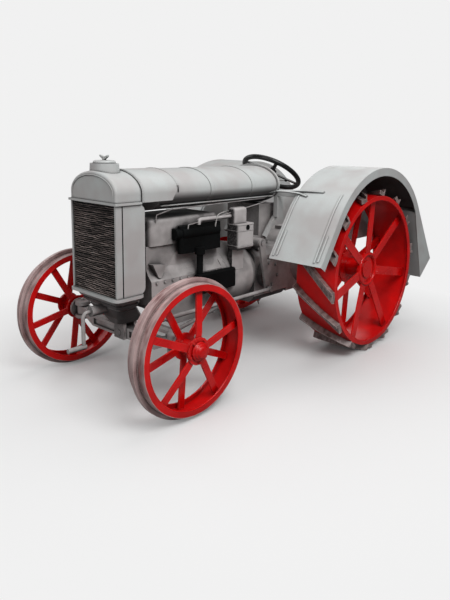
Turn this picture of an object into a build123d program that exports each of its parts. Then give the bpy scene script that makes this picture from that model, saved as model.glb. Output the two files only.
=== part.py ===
from build123d import *
import os
from math import cos, radians, sin, sqrt

# Four-cylinder farm tractor of the 1920s on steel wheels.
# Units are millimetres. +X is the tractor's left, -Y is its front, +Z is up. The origin is on
# the ground, in the middle of the tractor's length and width.

os.makedirs("parts", exist_ok=True)

# ---------------------------------------------------------------- clearances
SEAT = 0.3          # between two pieces that rest on each other
FIT = 0.05          # radial clearance of a shaft in its bore
SIDE_PLAY = 1.0     # end float of a wheel, a fork or a rod's eye
SPOKE_GAP = 0.5     # between a spoke's end and its rim

# ---------------------------------------------------------------- wheels
WHEELBASE = 1600
F_TRACK, F_RIM_R, F_RIM_W, F_RIM_T = 1118, 355.6, 127, 11
F_RIB_H, F_RIB_W = 25, 26
F_LIP, F_LIP_T = 22, 9
F_SPOKES, F_SPOKE_W, F_SPOKE_T = 10, 40, 11
R_TRACK, R_RIM_R, R_RIM_W, R_RIM_T = 1240, 533.4, 305, 9
R_LIP, R_LIP_T = 20, 9
R_SPOKES, R_SPOKE_W, R_SPOKE_T = 7, 60, 10
LUGS, LUG_H, LUG_T, LUG_FOOT, LUG_FOOT_T = 14, 45, 11, 50, 9
LUG_SKEW = 39.5     # from the wheel's axis, in degrees
LUG_START = 19.35   # first lug's middle, below straight ahead, in degrees
F_AXLE_Z = F_RIM_R + F_RIB_H
R_AXLE_Z = R_RIM_R + LUG_H

# ---------------------------------------------------------------- fenders
FENDER_R, FENDER_T, VALANCE_W = 672, 3, 54
FENDER_UP, FENDER_BACK = 56, 11        # arc's centre from the rear axle
LEG_ANGLE = 33                         # straight legs, from upright, in degrees
FRONT_FOOT_Z, REAR_FOOT_Z = 717, 549
BOX_FOOT_IN, BOX_FOOT_DOWN = 168, 132  # box end's inner corner from the rear foot
FENDER_IN_X, FENDER_OUT_X = 385, 795
FENDER_Z = R_AXLE_Z + FENDER_UP
knee_in, knee_up = FENDER_R * cos(radians(LEG_ANGLE)), FENDER_R * sin(radians(LEG_ANGLE))
rear_drop = FENDER_Z + knee_up - REAR_FOOT_Z
REAR_REACH = FENDER_BACK + knee_in + rear_drop * sin(radians(LEG_ANGLE)) / cos(radians(LEG_ANGLE))

# ---------------------------------------------------------------- starting crank
CRANK_REACH = 383                      # handle's end, ahead of the front axle
CRANK_ARM, CRANK_R, GRIP_R, GRIP_L = 195, 11, 14, 98

# ---------------------------------------------------------------- stations along the tractor
Y_REAR = (WHEELBASE + CRANK_REACH - REAR_REACH) / 2
Y_FRONT = Y_REAR - WHEELBASE
RAD_AHEAD, RAD_DEPTH = 207, 165
FAN_SPACE, BELL_L, DIFF_HALF = 82, 371, 235
GEARS_AHEAD = 614                      # gear housing's front face ahead of the rear axle
TANK_BEHIND = 307                      # tank's front end behind the radiator's face
HOOD_BEHIND = 429                      # hood's rear edge behind the radiator's face
DASH_AHEAD = 454                       # dash's rear face ahead of the rear axle
Y_RAD = Y_FRONT - RAD_AHEAD
Y_SHELL = Y_RAD + RAD_DEPTH
Y_BLOCK = Y_SHELL + FAN_SPACE
Y_GEARS = Y_REAR - GEARS_AHEAD
Y_BELL = Y_GEARS - BELL_L
BLOCK_L = Y_BELL - Y_BLOCK
Y_DIFF = Y_REAR - DIFF_HALF
Y_DASH = Y_REAR - DASH_AHEAD


def front_view(y):
    """Plane across the tractor at y: local x is X, local y is Z."""
    return Plane.XZ.offset(-y)


def side_view(x):
    """Plane along the tractor at x: local x is Y, local y is Z."""
    return Plane.YZ.offset(x)


def top_view(z):
    """Level plane at z: local x is X, local y is Y."""
    return Plane.XY.offset(z)


def save(piece, node):
    """Label a finished piece and write it to its own STEP file."""
    piece.part.label = node
    export_step(piece.part, f"parts/{node}.step")


def slab(x, y, z, mode=Mode.ADD):
    """Box between low and high limits on each axis."""
    with Locations((x[0], y[0], z[0])):
        Box(x[1] - x[0], y[1] - y[0], z[1] - z[0], align=(Align.MIN,) * 3, mode=mode)


def rod(start, end, radius, mode=Mode.ADD):
    """Round bar between two points."""
    way = Vector(*end) - Vector(*start)
    with Locations(Plane(origin=start, z_dir=way)):
        Cylinder(radius, way.length, align=(Align.CENTER, Align.CENTER, Align.MIN), mode=mode)


def mirrored(piece, node):
    """The same piece on the tractor's right side."""
    with BuildPart() as other:
        mirror(piece.part, about=Plane.YZ)
    save(other, node)
    return other


# ================================================================ rear wheels
R_WHEEL_X = R_TRACK / 2
rear_centre = (R_WHEEL_X, Y_REAR, R_AXLE_Z)
# Local z is the wheel's axis and local x points straight ahead.
rear_disc = Plane(origin=rear_centre, x_dir=(0, -1, 0), z_dir=(1, 0, 0))
R_IN = R_RIM_R - R_RIM_T

# One lug: an angle iron across the rim at a skew, its foot on the rim and its blade upright.
lug_mid = rear_disc.from_local_coords((R_RIM_R, 0, 0))
lug_run = Vector(cos(radians(LUG_SKEW)), 0, -sin(radians(LUG_SKEW)))
lug_plane = Plane(origin=lug_mid, x_dir=(0, -1, 0), z_dir=lug_run)
with BuildPart() as lug:
    with BuildSketch(lug_plane):
        with BuildLine():
            Polyline((-2 * LUG_FOOT_T, -LUG_T / 2), (2 * LUG_H, -LUG_T / 2), (2 * LUG_H, LUG_T / 2),
                     (LUG_FOOT_T, LUG_T / 2), (LUG_FOOT_T, LUG_FOOT), (-2 * LUG_FOOT_T, LUG_FOOT), close=True)
        make_face()
    extrude(amount=R_RIM_W, both=True)

with BuildPart(rear_disc) as rear_rim_left:
    with PolarLocations(0, LUGS, start_angle=LUG_START):
        add(rear_disc.to_local_coords(lug.part))
    Cylinder(R_RIM_R + LUG_H, R_RIM_W, mode=Mode.INTERSECT)
    Cylinder(R_RIM_R, R_RIM_W)
    Cylinder(R_IN - R_LIP, R_RIM_W, mode=Mode.SUBTRACT)
    Cylinder(R_IN, R_RIM_W - 2 * R_LIP_T, mode=Mode.SUBTRACT)
save(rear_rim_left, "rear_rim_left")
mirrored(rear_rim_left, "rear_rim_right")

# Hub with two spoke flanges; each row of flat spokes leans out to the rim.
R_HUB_R, R_FLANGE_R, R_FLANGE_T = 62, 125, 16
R_HUB_IN_X, R_HUB_OUT_X = 480, 705
R_SPOKE_START = 88                     # first outboard spoke above straight ahead, in degrees
R_SPOKE_RIM = 110                      # spoke's end at the rim, from the wheel's middle
R_SHAFT_R, R_RECESS_R, R_RECESS = 45, 96, 10
R_FLANGE_IN_X = 535
# row, flange's middle and spoke's end at the rim as X from the wheel's middle, first angle
rear_rows = [
    ("outboard", R_HUB_OUT_X - R_FLANGE_T / 2 - R_WHEEL_X, R_SPOKE_RIM, R_SPOKE_START),
    ("inboard", R_FLANGE_IN_X + R_FLANGE_T / 2 - R_WHEEL_X, -R_SPOKE_RIM, R_SPOKE_START + 180 / R_SPOKES),
]
with BuildPart() as rear_spokes_left:
    for row, hub_x, rim_x, first in rear_rows:
        for n in range(R_SPOKES):
            turn = radians(first + n * 360 / R_SPOKES)
            outward = Vector(0, -cos(turn), sin(turn))
            root = Vector(*rear_centre) + Vector(hub_x, 0, 0) + outward * R_HUB_R
            tip = Vector(*rear_centre) + Vector(rim_x, 0, 0) + outward * R_IN
            across = Vector(0, sin(turn), cos(turn))
            with BuildSketch(Plane(origin=root, x_dir=across, z_dir=tip - root)):
                Rectangle(R_SPOKE_W, R_SPOKE_T)
            extrude(amount=(tip - root).length + R_LIP)
    with Locations(rear_disc):
        Cylinder(R_IN - SPOKE_GAP, R_RIM_W, mode=Mode.INTERSECT)
    rod((R_HUB_IN_X, Y_REAR, R_AXLE_Z), (R_HUB_OUT_X, Y_REAR, R_AXLE_Z), R_HUB_R)
    for row, hub_x, rim_x, first in rear_rows:
        with Locations(Plane(origin=(R_WHEEL_X + hub_x, Y_REAR, R_AXLE_Z), z_dir=(1, 0, 0))):
            Cylinder(R_FLANGE_R, R_FLANGE_T)
    rod((R_HUB_OUT_X - R_RECESS, Y_REAR, R_AXLE_Z), (R_HUB_OUT_X, Y_REAR, R_AXLE_Z), R_RECESS_R,
        mode=Mode.SUBTRACT)
    rod((R_HUB_OUT_X - R_RECESS, Y_REAR, R_AXLE_Z), (R_HUB_OUT_X, Y_REAR, R_AXLE_Z), R_HUB_R)
    rod((R_HUB_IN_X, Y_REAR, R_AXLE_Z), (R_HUB_OUT_X - R_RECESS, Y_REAR, R_AXLE_Z), R_SHAFT_R + FIT,
        mode=Mode.SUBTRACT)
save(rear_spokes_left, "rear_spokes_left")
mirrored(rear_spokes_left, "rear_spokes_right")

# ================================================================ front wheels
F_WHEEL_X = F_TRACK / 2
front_centre = (F_WHEEL_X, Y_FRONT, F_AXLE_Z)
front_disc = Plane(origin=front_centre, x_dir=(0, -1, 0), z_dir=(1, 0, 0))
F_IN = F_RIM_R - F_RIM_T
with BuildPart(front_disc) as front_rim_left:
    Cylinder(F_RIM_R, F_RIM_W)
    Cylinder(F_RIM_R + F_RIB_H, F_RIB_W)
    Cylinder(F_IN - F_LIP, F_RIM_W, mode=Mode.SUBTRACT)
    Cylinder(F_IN, F_RIM_W - 2 * F_LIP_T, mode=Mode.SUBTRACT)
save(front_rim_left, "front_rim_left")
mirrored(front_rim_left, "front_rim_right")

F_HUB_R, F_FLANGE_R, F_FLANGE_T, F_CAP_R = 42, 74, 12, 34
F_HUB_IN_X, F_HUB_OUT_X, F_CAP_X = 507, 636, 661
F_SPOKE_START, F_SPOKE_RIM = 24, 30
F_SHAFT_R = 21
# row, flange's middle and spoke's end at the rim as X from the wheel's middle, first angle
front_rows = [
    ("outer", F_HUB_OUT_X - F_FLANGE_T - F_WHEEL_X, F_SPOKE_RIM, F_SPOKE_START),
    ("inner", F_HUB_IN_X + F_FLANGE_T - F_WHEEL_X, -F_SPOKE_RIM, F_SPOKE_START + 360 / F_SPOKES),
]
with BuildPart() as front_spokes_left:
    for row, hub_x, rim_x, first in front_rows:
        for n in range(F_SPOKES // 2):
            turn = radians(first + n * 720 / F_SPOKES)
            outward = Vector(0, -cos(turn), sin(turn))
            root = Vector(*front_centre) + Vector(hub_x, 0, 0) + outward * F_HUB_R
            tip = Vector(*front_centre) + Vector(rim_x, 0, 0) + outward * F_IN
            across = Vector(0, sin(turn), cos(turn))
            with BuildSketch(Plane(origin=root, x_dir=across, z_dir=tip - root)):
                Rectangle(F_SPOKE_W, F_SPOKE_T)
            extrude(amount=(tip - root).length + F_LIP)
    with Locations(front_disc):
        Cylinder(F_IN - SPOKE_GAP, F_RIM_W, mode=Mode.INTERSECT)
    rod((F_HUB_IN_X, Y_FRONT, F_AXLE_Z), (F_HUB_OUT_X, Y_FRONT, F_AXLE_Z), F_HUB_R)
    rod((F_HUB_OUT_X, Y_FRONT, F_AXLE_Z), (F_CAP_X, Y_FRONT, F_AXLE_Z), F_CAP_R)
    chamfer(front_spokes_left.part.faces().sort_by(Axis.X)[-1].edges(), 6)
    for row, hub_x, rim_x, first in front_rows:
        with Locations(Plane(origin=(F_WHEEL_X + hub_x, Y_FRONT, F_AXLE_Z), z_dir=(1, 0, 0))):
            Cylinder(F_FLANGE_R, F_FLANGE_T)
    rod((F_HUB_IN_X, Y_FRONT, F_AXLE_Z), (F_HUB_OUT_X, Y_FRONT, F_AXLE_Z), F_SHAFT_R + FIT,
        mode=Mode.SUBTRACT)
save(front_spokes_left, "front_spokes_left")
mirrored(front_spokes_left, "front_spokes_right")

# ================================================================ front axle and steering
KINGPIN_X, KINGPIN_R, EYE_R, EYE_H = 450, 16, 34, 62
FORK_T, WEB_T, FORK_W = 27, 14, 62
BEAM_D, BEAM_FLANGE, BEAM_POCKET = 56, 14, 14
BEAM_LOW, BEAM_HIGH, POCKET_X = 308, 375, (70, 290)
eye_low, eye_high = F_AXLE_Z - EYE_H / 2, F_AXLE_Z + EYE_H / 2
# Beam's outline from the middle out: x, low edge, high edge, as heights
beam_stations = [(0, BEAM_LOW, BEAM_HIGH), (POCKET_X[1] + 10, BEAM_LOW, BEAM_HIGH), (392, 354, 404),
                 (KINGPIN_X, 354, 404)]
PIVOT_R, PIVOT_Z = 18, 342
with BuildPart() as front_axle:
    with BuildSketch(front_view(Y_FRONT)):
        with BuildLine():
            Polyline(*[(-x, low) for x, low, high in reversed(beam_stations)],
                     *[(x, low) for x, low, high in beam_stations[1:]],
                     *[(x, high) for x, low, high in reversed(beam_stations)],
                     *[(-x, high) for x, low, high in beam_stations[1:]], close=True)
        make_face()
    extrude(amount=BEAM_D / 2, both=True)
    # I-section: a pocket in each face between the flanges
    for side in (-1, 1):
        for face in (-1, 1):
            deep = sorted((Y_FRONT + face * (BEAM_D / 2 - BEAM_POCKET), Y_FRONT + face * BEAM_D))
            wide = sorted(side * x for x in POCKET_X)
            slab(wide, deep, (BEAM_LOW + BEAM_FLANGE, BEAM_HIGH - BEAM_FLANGE), mode=Mode.SUBTRACT)
    for side in (-1, 1):
        x = side * KINGPIN_X
        rod((x, Y_FRONT, eye_low), (x, Y_FRONT, eye_high), EYE_R)
        rod((x, Y_FRONT, eye_low), (x, Y_FRONT, eye_high), KINGPIN_R + FIT, mode=Mode.SUBTRACT)
    rod((0, Y_FRONT - BEAM_D, PIVOT_Z), (0, Y_FRONT + BEAM_D, PIVOT_Z), PIVOT_R + FIT, mode=Mode.SUBTRACT)
save(front_axle, "front_axle")

# Knuckle: a fork over the beam's eye, the kingpin, the wheel's spindle and the tie rod's arm
TIE_ARM, TIE_PIN_R, ARM_W, ARM_T, ARM_EYE_R, BALL_H, PIN_OVER = 170, 9, 30, 18, 20, 32, 4
PLATE_R, COLLAR_R, LUMP_R = 62, 36, 48
fork_low, fork_high = eye_low - SEAT - FORK_T, eye_high + SEAT + FORK_T
WEB_X = KINGPIN_X + EYE_R + 2
TIE_Z = fork_low + ARM_T + SEAT + BALL_H / 2
with BuildPart() as knuckle_base:
    rod((KINGPIN_X, Y_FRONT, fork_low), (KINGPIN_X, Y_FRONT, fork_high), KINGPIN_R)
    for low, high in ((fork_low, eye_low - SEAT), (eye_high + SEAT, fork_high)):
        rod((KINGPIN_X, Y_FRONT, low), (KINGPIN_X, Y_FRONT, high), LUMP_R)
        slab((KINGPIN_X, WEB_X + WEB_T), (Y_FRONT - FORK_W / 2, Y_FRONT + FORK_W / 2), (low, high))
    # fork's outer ends are rounded off, as a forging's are
    fillet(knuckle_base.part.edges().filter_by(GeomType.CIRCLE).filter_by(
        lambda e: abs(e.radius - LUMP_R) < 0.1).group_by(Axis.Z)[0], 10)
    fillet(knuckle_base.part.edges().filter_by(GeomType.CIRCLE).filter_by(
        lambda e: abs(e.radius - LUMP_R) < 0.1).group_by(Axis.Z)[-1], 10)
    rod((WEB_X, Y_FRONT, F_AXLE_Z), (WEB_X + WEB_T, Y_FRONT, F_AXLE_Z), PLATE_R)
    rod((WEB_X, Y_FRONT, F_AXLE_Z), (F_HUB_IN_X - SIDE_PLAY, Y_FRONT, F_AXLE_Z), COLLAR_R)
    rod((WEB_X, Y_FRONT, F_AXLE_Z), (F_HUB_OUT_X - SIDE_PLAY, Y_FRONT, F_AXLE_Z), F_SHAFT_R)
    slab((KINGPIN_X - ARM_W / 2, KINGPIN_X + ARM_W / 2), (Y_FRONT, Y_FRONT + TIE_ARM),
         (fork_low, fork_low + ARM_T))
    pin_foot = (KINGPIN_X, Y_FRONT + TIE_ARM, fork_low)
    rod(pin_foot, (KINGPIN_X, Y_FRONT + TIE_ARM, fork_low + ARM_T), ARM_EYE_R)
    rod(pin_foot, (KINGPIN_X, Y_FRONT + TIE_ARM, fork_low + ARM_T + BALL_H + PIN_OVER), TIE_PIN_R)
mirrored(knuckle_base, "knuckle_right")

# The left knuckle also carries the drag link's arm, over the beam.
PITMAN_X, PITMAN_T = 232, 18
SOCKET_HALF, SOCKET_R = 16, 19
DRAG_X = PITMAN_X + PITMAN_T + 2 * SIDE_PLAY + SOCKET_HALF
DRAG_R, DRAG_PIN_R, DRAG_ARM_T = 13, 9, 20
DRAG_Z = fork_high + SEAT + BALL_H / 2
with BuildPart() as knuckle_left:
    add(knuckle_base.part)
    slab((DRAG_X, KINGPIN_X), (Y_FRONT - ARM_W / 2, Y_FRONT + ARM_W / 2), (fork_high - DRAG_ARM_T, fork_high))
    rod((DRAG_X, Y_FRONT, fork_high - DRAG_ARM_T), (DRAG_X, Y_FRONT, fork_high), ARM_EYE_R)
    rod((DRAG_X, Y_FRONT, fork_high - DRAG_ARM_T), (DRAG_X, Y_FRONT, fork_high + BALL_H + PIN_OVER),
        DRAG_PIN_R)
save(knuckle_left, "knuckle_left")

TIE_R = 13
with BuildPart() as tie_rod:
    rod((-KINGPIN_X, Y_FRONT + TIE_ARM, TIE_Z), (KINGPIN_X, Y_FRONT + TIE_ARM, TIE_Z), TIE_R)
    for side in (-1, 1):
        x = side * KINGPIN_X
        low, high = TIE_Z - BALL_H / 2, TIE_Z + BALL_H / 2
        rod((x, Y_FRONT + TIE_ARM, low), (x, Y_FRONT + TIE_ARM, high), SOCKET_R)
        rod((x, Y_FRONT + TIE_ARM, low), (x, Y_FRONT + TIE_ARM, high), TIE_PIN_R + FIT,
            mode=Mode.SUBTRACT)
save(tie_rod, "tie_rod")

# Sector shaft and its arm, which pushes the drag link
SECTOR_AHEAD, SECTOR_Z, SECTOR_R = 640, 785, 16
PITMAN_END_AHEAD = 569
Y_SECTOR, Y_PITMAN = Y_REAR - SECTOR_AHEAD, Y_REAR - PITMAN_END_AHEAD
with BuildPart() as drag_link:
    rod((DRAG_X, Y_FRONT, DRAG_Z), (DRAG_X, Y_PITMAN, DRAG_Z), DRAG_R)
    low, high = DRAG_Z - BALL_H / 2, DRAG_Z + BALL_H / 2
    rod((DRAG_X, Y_FRONT, low), (DRAG_X, Y_FRONT, high), SOCKET_R)
    rod((DRAG_X, Y_FRONT, low), (DRAG_X, Y_FRONT, high), DRAG_PIN_R + FIT, mode=Mode.SUBTRACT)
    # socket of the open end, beside the arm's boss
    rod((DRAG_X - SOCKET_HALF + SIDE_PLAY, Y_PITMAN, DRAG_Z), (DRAG_X + SOCKET_HALF, Y_PITMAN, DRAG_Z),
        SOCKET_R)
save(drag_link, "drag_link")

BOSS_R, BOSS_END_X = 34, PITMAN_X - SIDE_PLAY
GEAR_X = 150
PITMAN_TOP_R, PITMAN_TOP_W, PITMAN_END_W, PITMAN_END_R = 33, 58, 40, 23
with BuildPart() as pitman_arm:
    way = Vector(0, Y_PITMAN - Y_SECTOR, DRAG_Z - SECTOR_Z)
    arm_plane = Plane(origin=(PITMAN_X, Y_SECTOR, SECTOR_Z), x_dir=way, z_dir=(1, 0, 0))
    with BuildSketch(arm_plane):
        with Locations((way.length / 2, 0)):
            Polygon((-way.length / 2, -PITMAN_TOP_W / 2), (way.length / 2, -PITMAN_END_W / 2),
                    (way.length / 2, PITMAN_END_W / 2), (-way.length / 2, PITMAN_TOP_W / 2), align=None)
        Circle(PITMAN_TOP_R)
        with Locations((way.length, 0)):
            Circle(PITMAN_END_R)
    extrude(amount=PITMAN_T)
    rod((GEAR_X + SIDE_PLAY, Y_SECTOR, SECTOR_Z), (PITMAN_X + PITMAN_T + 6, Y_SECTOR, SECTOR_Z), SECTOR_R)
save(pitman_arm, "pitman_arm")

# ================================================================ radiator
RAD_HALF, RAD_LOW, RAD_HIGH = 213, 613, 1121
POST_W, POST_D, PANEL_T, PANEL_SEAM, PANEL_BACK, PANEL_CORNER = 13, 38, 5, 8, 26, 42
TOP_HALF, SPRING_UP, TOP_RISE, TOP_ROUND = 217, 55, 120, 14
SPRING_Z = RAD_HIGH + SPRING_UP         # where the top tank's arch and the fuel tank are widest
LEDGE_OUT, LEDGE_H = 8, 13
BASE_OUT, BASE_H, BASE_CORNER = 18, 15, 40


def arch(plane, half, rise, foot):
    """Arched section: upright sides from foot to the spring line, then half an ellipse."""
    with BuildSketch(plane) as outline:
        with BuildLine():
            EllipticalCenterArc((0, SPRING_Z), half, rise, start_angle=0, arc_size=180)
            Polyline((-half, SPRING_Z), (-half, foot), (half, foot), (half, SPRING_Z))
        make_face()
    return outline.sketch


NECK_BEHIND, NECK_R, NECK_DEEP_R, NECK_TAPER, NECK_UP = 84, 104, 78, 9, 159
NECK_TOP_Z = SPRING_Z + NECK_UP
Y_NECK = Y_RAD + NECK_BEHIND
with BuildPart() as radiator_shell:
    extrude(arch(front_view(Y_RAD), TOP_HALF, TOP_RISE, RAD_HIGH), amount=-RAD_DEPTH)
    front_edges = radiator_shell.part.faces().sort_by(Axis.Y)[0].edges().filter_by(
        lambda e: e.center().Z > RAD_HIGH + 1)
    fillet(front_edges, TOP_ROUND)
    # bead round the foot of the top tank
    with BuildSketch(top_view(RAD_HIGH)):
        with Locations((0, Y_RAD - LEDGE_OUT)):
            Rectangle(2 * (TOP_HALF + LEDGE_OUT), RAD_DEPTH + LEDGE_OUT, align=(Align.CENTER, Align.MIN))
    extrude(amount=LEDGE_H)
    # filler neck
    with BuildSketch(top_view(SPRING_Z)):
        with Locations((0, Y_NECK)):
            Ellipse(NECK_R, NECK_DEEP_R)
    with BuildSketch(top_view(NECK_TOP_Z)):
        with Locations((0, Y_NECK)):
            Ellipse(NECK_R - NECK_TAPER, NECK_DEEP_R - NECK_TAPER)
    loft()
    # corner posts, and side panels behind an open seam
    for side in (-1, 1):
        x = sorted((side * (RAD_HALF - POST_W), side * RAD_HALF))
        slab(x, (Y_RAD, Y_RAD + POST_D), (RAD_LOW, RAD_HIGH))
        slab(x, (Y_SHELL - POST_D, Y_SHELL), (RAD_LOW, RAD_HIGH))
        with BuildSketch(side_view(side * RAD_HALF)):
            with BuildLine():
                FilletPolyline((Y_RAD + POST_D + PANEL_SEAM, RAD_LOW), (Y_SHELL + PANEL_BACK, RAD_LOW),
                               (Y_SHELL + PANEL_BACK, RAD_HIGH), (Y_RAD + POST_D + PANEL_SEAM, RAD_HIGH),
                               radius=PANEL_CORNER)
                Line((Y_RAD + POST_D + PANEL_SEAM, RAD_HIGH), (Y_RAD + POST_D + PANEL_SEAM, RAD_LOW))
            make_face()
        extrude(amount=-side * PANEL_T)
    # bottom tank and the ledge it stands on
    slab((-RAD_HALF, RAD_HALF), (Y_RAD, Y_SHELL), (RAD_LOW - BASE_H - 4, RAD_LOW))
    with BuildSketch(top_view(RAD_LOW)):
        with Locations((0, Y_RAD - BASE_OUT)):
            RectangleRounded(2 * (RAD_HALF + BASE_OUT), RAD_DEPTH + 2 * BASE_OUT, BASE_CORNER,
                             align=(Align.CENTER, Align.MIN))
    extrude(amount=-BASE_H)
save(radiator_shell, "radiator_shell")

CAP_R, CAP_T, CAP_ROUND, CAP_H, STEM_R = 62, 16, 13, 46, 11
WING_HALF, WING_H, WING_TIP, WING_T = 37, 30, 9, 12
CAP_TOP_Z = NECK_TOP_Z + CAP_H
with BuildPart() as radiator_cap:
    rod((0, Y_NECK, NECK_TOP_Z + SEAT), (0, Y_NECK, NECK_TOP_Z + SEAT + CAP_T), CAP_R)
    fillet(radiator_cap.part.faces().sort_by(Axis.Z)[-1].edges(), CAP_ROUND)
    rod((0, Y_NECK, NECK_TOP_Z + SEAT), (0, Y_NECK, CAP_TOP_Z - WING_TIP), STEM_R)
    with BuildSketch(front_view(Y_NECK)):
        with BuildLine():
            Polyline((-WING_HALF, CAP_TOP_Z), (-WING_HALF, CAP_TOP_Z - WING_TIP), (0, CAP_TOP_Z - WING_H),
                     (WING_HALF, CAP_TOP_Z - WING_TIP), (WING_HALF, CAP_TOP_Z), (0, CAP_TOP_Z - WING_T),
                     close=True)
        make_face()
    extrude(amount=WING_T / 2, both=True)
save(radiator_cap, "radiator_cap")

FINS, FIN_T, FIN_OUT = 34, 3, 7
core_low, core_high = RAD_LOW + SEAT, RAD_HIGH - SEAT
core_half = RAD_HALF - POST_W - SEAT
Y_CORE = Y_RAD + 16
with BuildPart() as radiator_core:
    slab((-core_half, core_half), (Y_CORE, Y_SHELL - 20), (core_low, core_high))
    for n in range(FINS):
        z = core_low + (n + 0.5) * (core_high - core_low) / FINS
        slab((-core_half, core_half), (Y_CORE - FIN_OUT, Y_CORE), (z - FIN_T / 2, z + FIN_T / 2))
save(radiator_core, "radiator_core")

# ================================================================ tank, hood and dash
TANK_HALF, TANK_RISE = 225, 122
HOOD_T, HOOD_FOOT = 3, RAD_HIGH + 9
Y_TANK = Y_RAD + TANK_BEHIND
Y_TANK_END = Y_DASH - 16
TANK_Z = SPRING_Z
STRAP_W, STRAP_T = 28, 3
SEAM_X, SEAM_OUT, SEAM_T = 176, 16, 6
seam_z = TANK_Z - TANK_RISE * sqrt(1 - (SEAM_X / TANK_HALF) ** 2)
with BuildPart() as fuel_tank:
    with BuildSketch(front_view(Y_TANK)):
        with Locations((0, TANK_Z)):
            Ellipse(TANK_HALF, TANK_RISE)
    extrude(amount=Y_TANK - Y_TANK_END)
    for share in (0.373, 0.743):
        with BuildSketch(front_view(Y_TANK + share * (Y_TANK_END - Y_TANK))):
            with Locations((0, TANK_Z)):
                Ellipse(TANK_HALF + STRAP_T, TANK_RISE + STRAP_T)
        extrude(amount=-STRAP_W)
    for side in (-1, 1):
        x = sorted((side * (SEAM_X - 10), side * (SEAM_X + SEAM_OUT)))
        slab(x, (Y_TANK + 20, Y_TANK_END), (seam_z - SEAM_T, seam_z))
save(fuel_tank, "fuel_tank")

hood_half, hood_rise = TANK_HALF + SEAT + HOOD_T, TANK_RISE + SEAT + HOOD_T
Y_HOOD_END, HOOD_CUT_H, HOOD_CUT_L = Y_RAD + HOOD_BEHIND, 82, 50
with BuildPart() as hood:
    extrude(arch(front_view(Y_SHELL + SEAT), hood_half, hood_rise, HOOD_FOOT),
            amount=-(Y_HOOD_END - Y_SHELL))
    extrude(arch(front_view(Y_SHELL), hood_half - HOOD_T, hood_rise - HOOD_T, RAD_LOW),
            amount=-(Y_DASH - Y_SHELL), mode=Mode.SUBTRACT)
    # lower rear corner is cut away on a slant
    with BuildSketch(side_view(-2 * hood_half)):
        with BuildLine():
            Polyline((Y_HOOD_END - HOOD_CUT_L, HOOD_FOOT), (Y_HOOD_END + SEAT, HOOD_FOOT + HOOD_CUT_H),
                     (Y_DASH, HOOD_FOOT + HOOD_CUT_H), (Y_DASH, HOOD_FOOT), close=True)
        make_face()
    extrude(amount=4 * hood_half, mode=Mode.SUBTRACT)
save(hood, "hood")

DASH_OUT = 14
LEG_X, LEG_DEEP, LEG_FOOT_Z, LEG_TOP_Z = (188, 222), 64, 945, TANK_Z - 81
STRUT_X, STRUT_W = (172, 198), 26
# Strut's run as distance ahead of the rear axle and height: from the leg's foot down to the sector
strut_run = [(422, 958), (480, 896), (545, 812)]
with BuildPart() as dash_panel:
    with BuildSketch(front_view(Y_DASH)):
        with Locations((0, TANK_Z)):
            Ellipse(TANK_HALF + DASH_OUT, TANK_RISE + DASH_OUT)
    extrude(amount=Y_DASH - Y_TANK_END - SEAT)
    for side in (-1, 1):
        slab(sorted(side * x for x in LEG_X), (Y_DASH - SEAT, Y_DASH + LEG_DEEP), (LEG_FOOT_Z, LEG_TOP_Z))
        with BuildSketch(side_view(side * STRUT_X[0])):
            with BuildLine():
                ThreePointArc(*[(Y_REAR - ahead, z) for ahead, z in strut_run])
            trace(line_width=STRUT_W)
        extrude(amount=side * (STRUT_X[1] - STRUT_X[0]))
save(dash_panel, "dash_panel")

# ================================================================ engine
BLOCK_HALF, CASE_HALF, CASE_Z, CASE_FLANGE = 150, 198, 640, 24
CASE_UP, CASE_NECK_UP, CASE_STEP = 60, 90, 16
SKIRT_T, SKIRT_Z, SKIRT_BACK = 26, 545, 380
HEAD_HALF, HEAD_BELOW, HEAD_SHORT, HEAD_ROUND, DECK_DROP = 166, 34, 14, 26, 13
HEAD_TOP = TANK_Z - TANK_RISE - HEAD_BELOW
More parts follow.
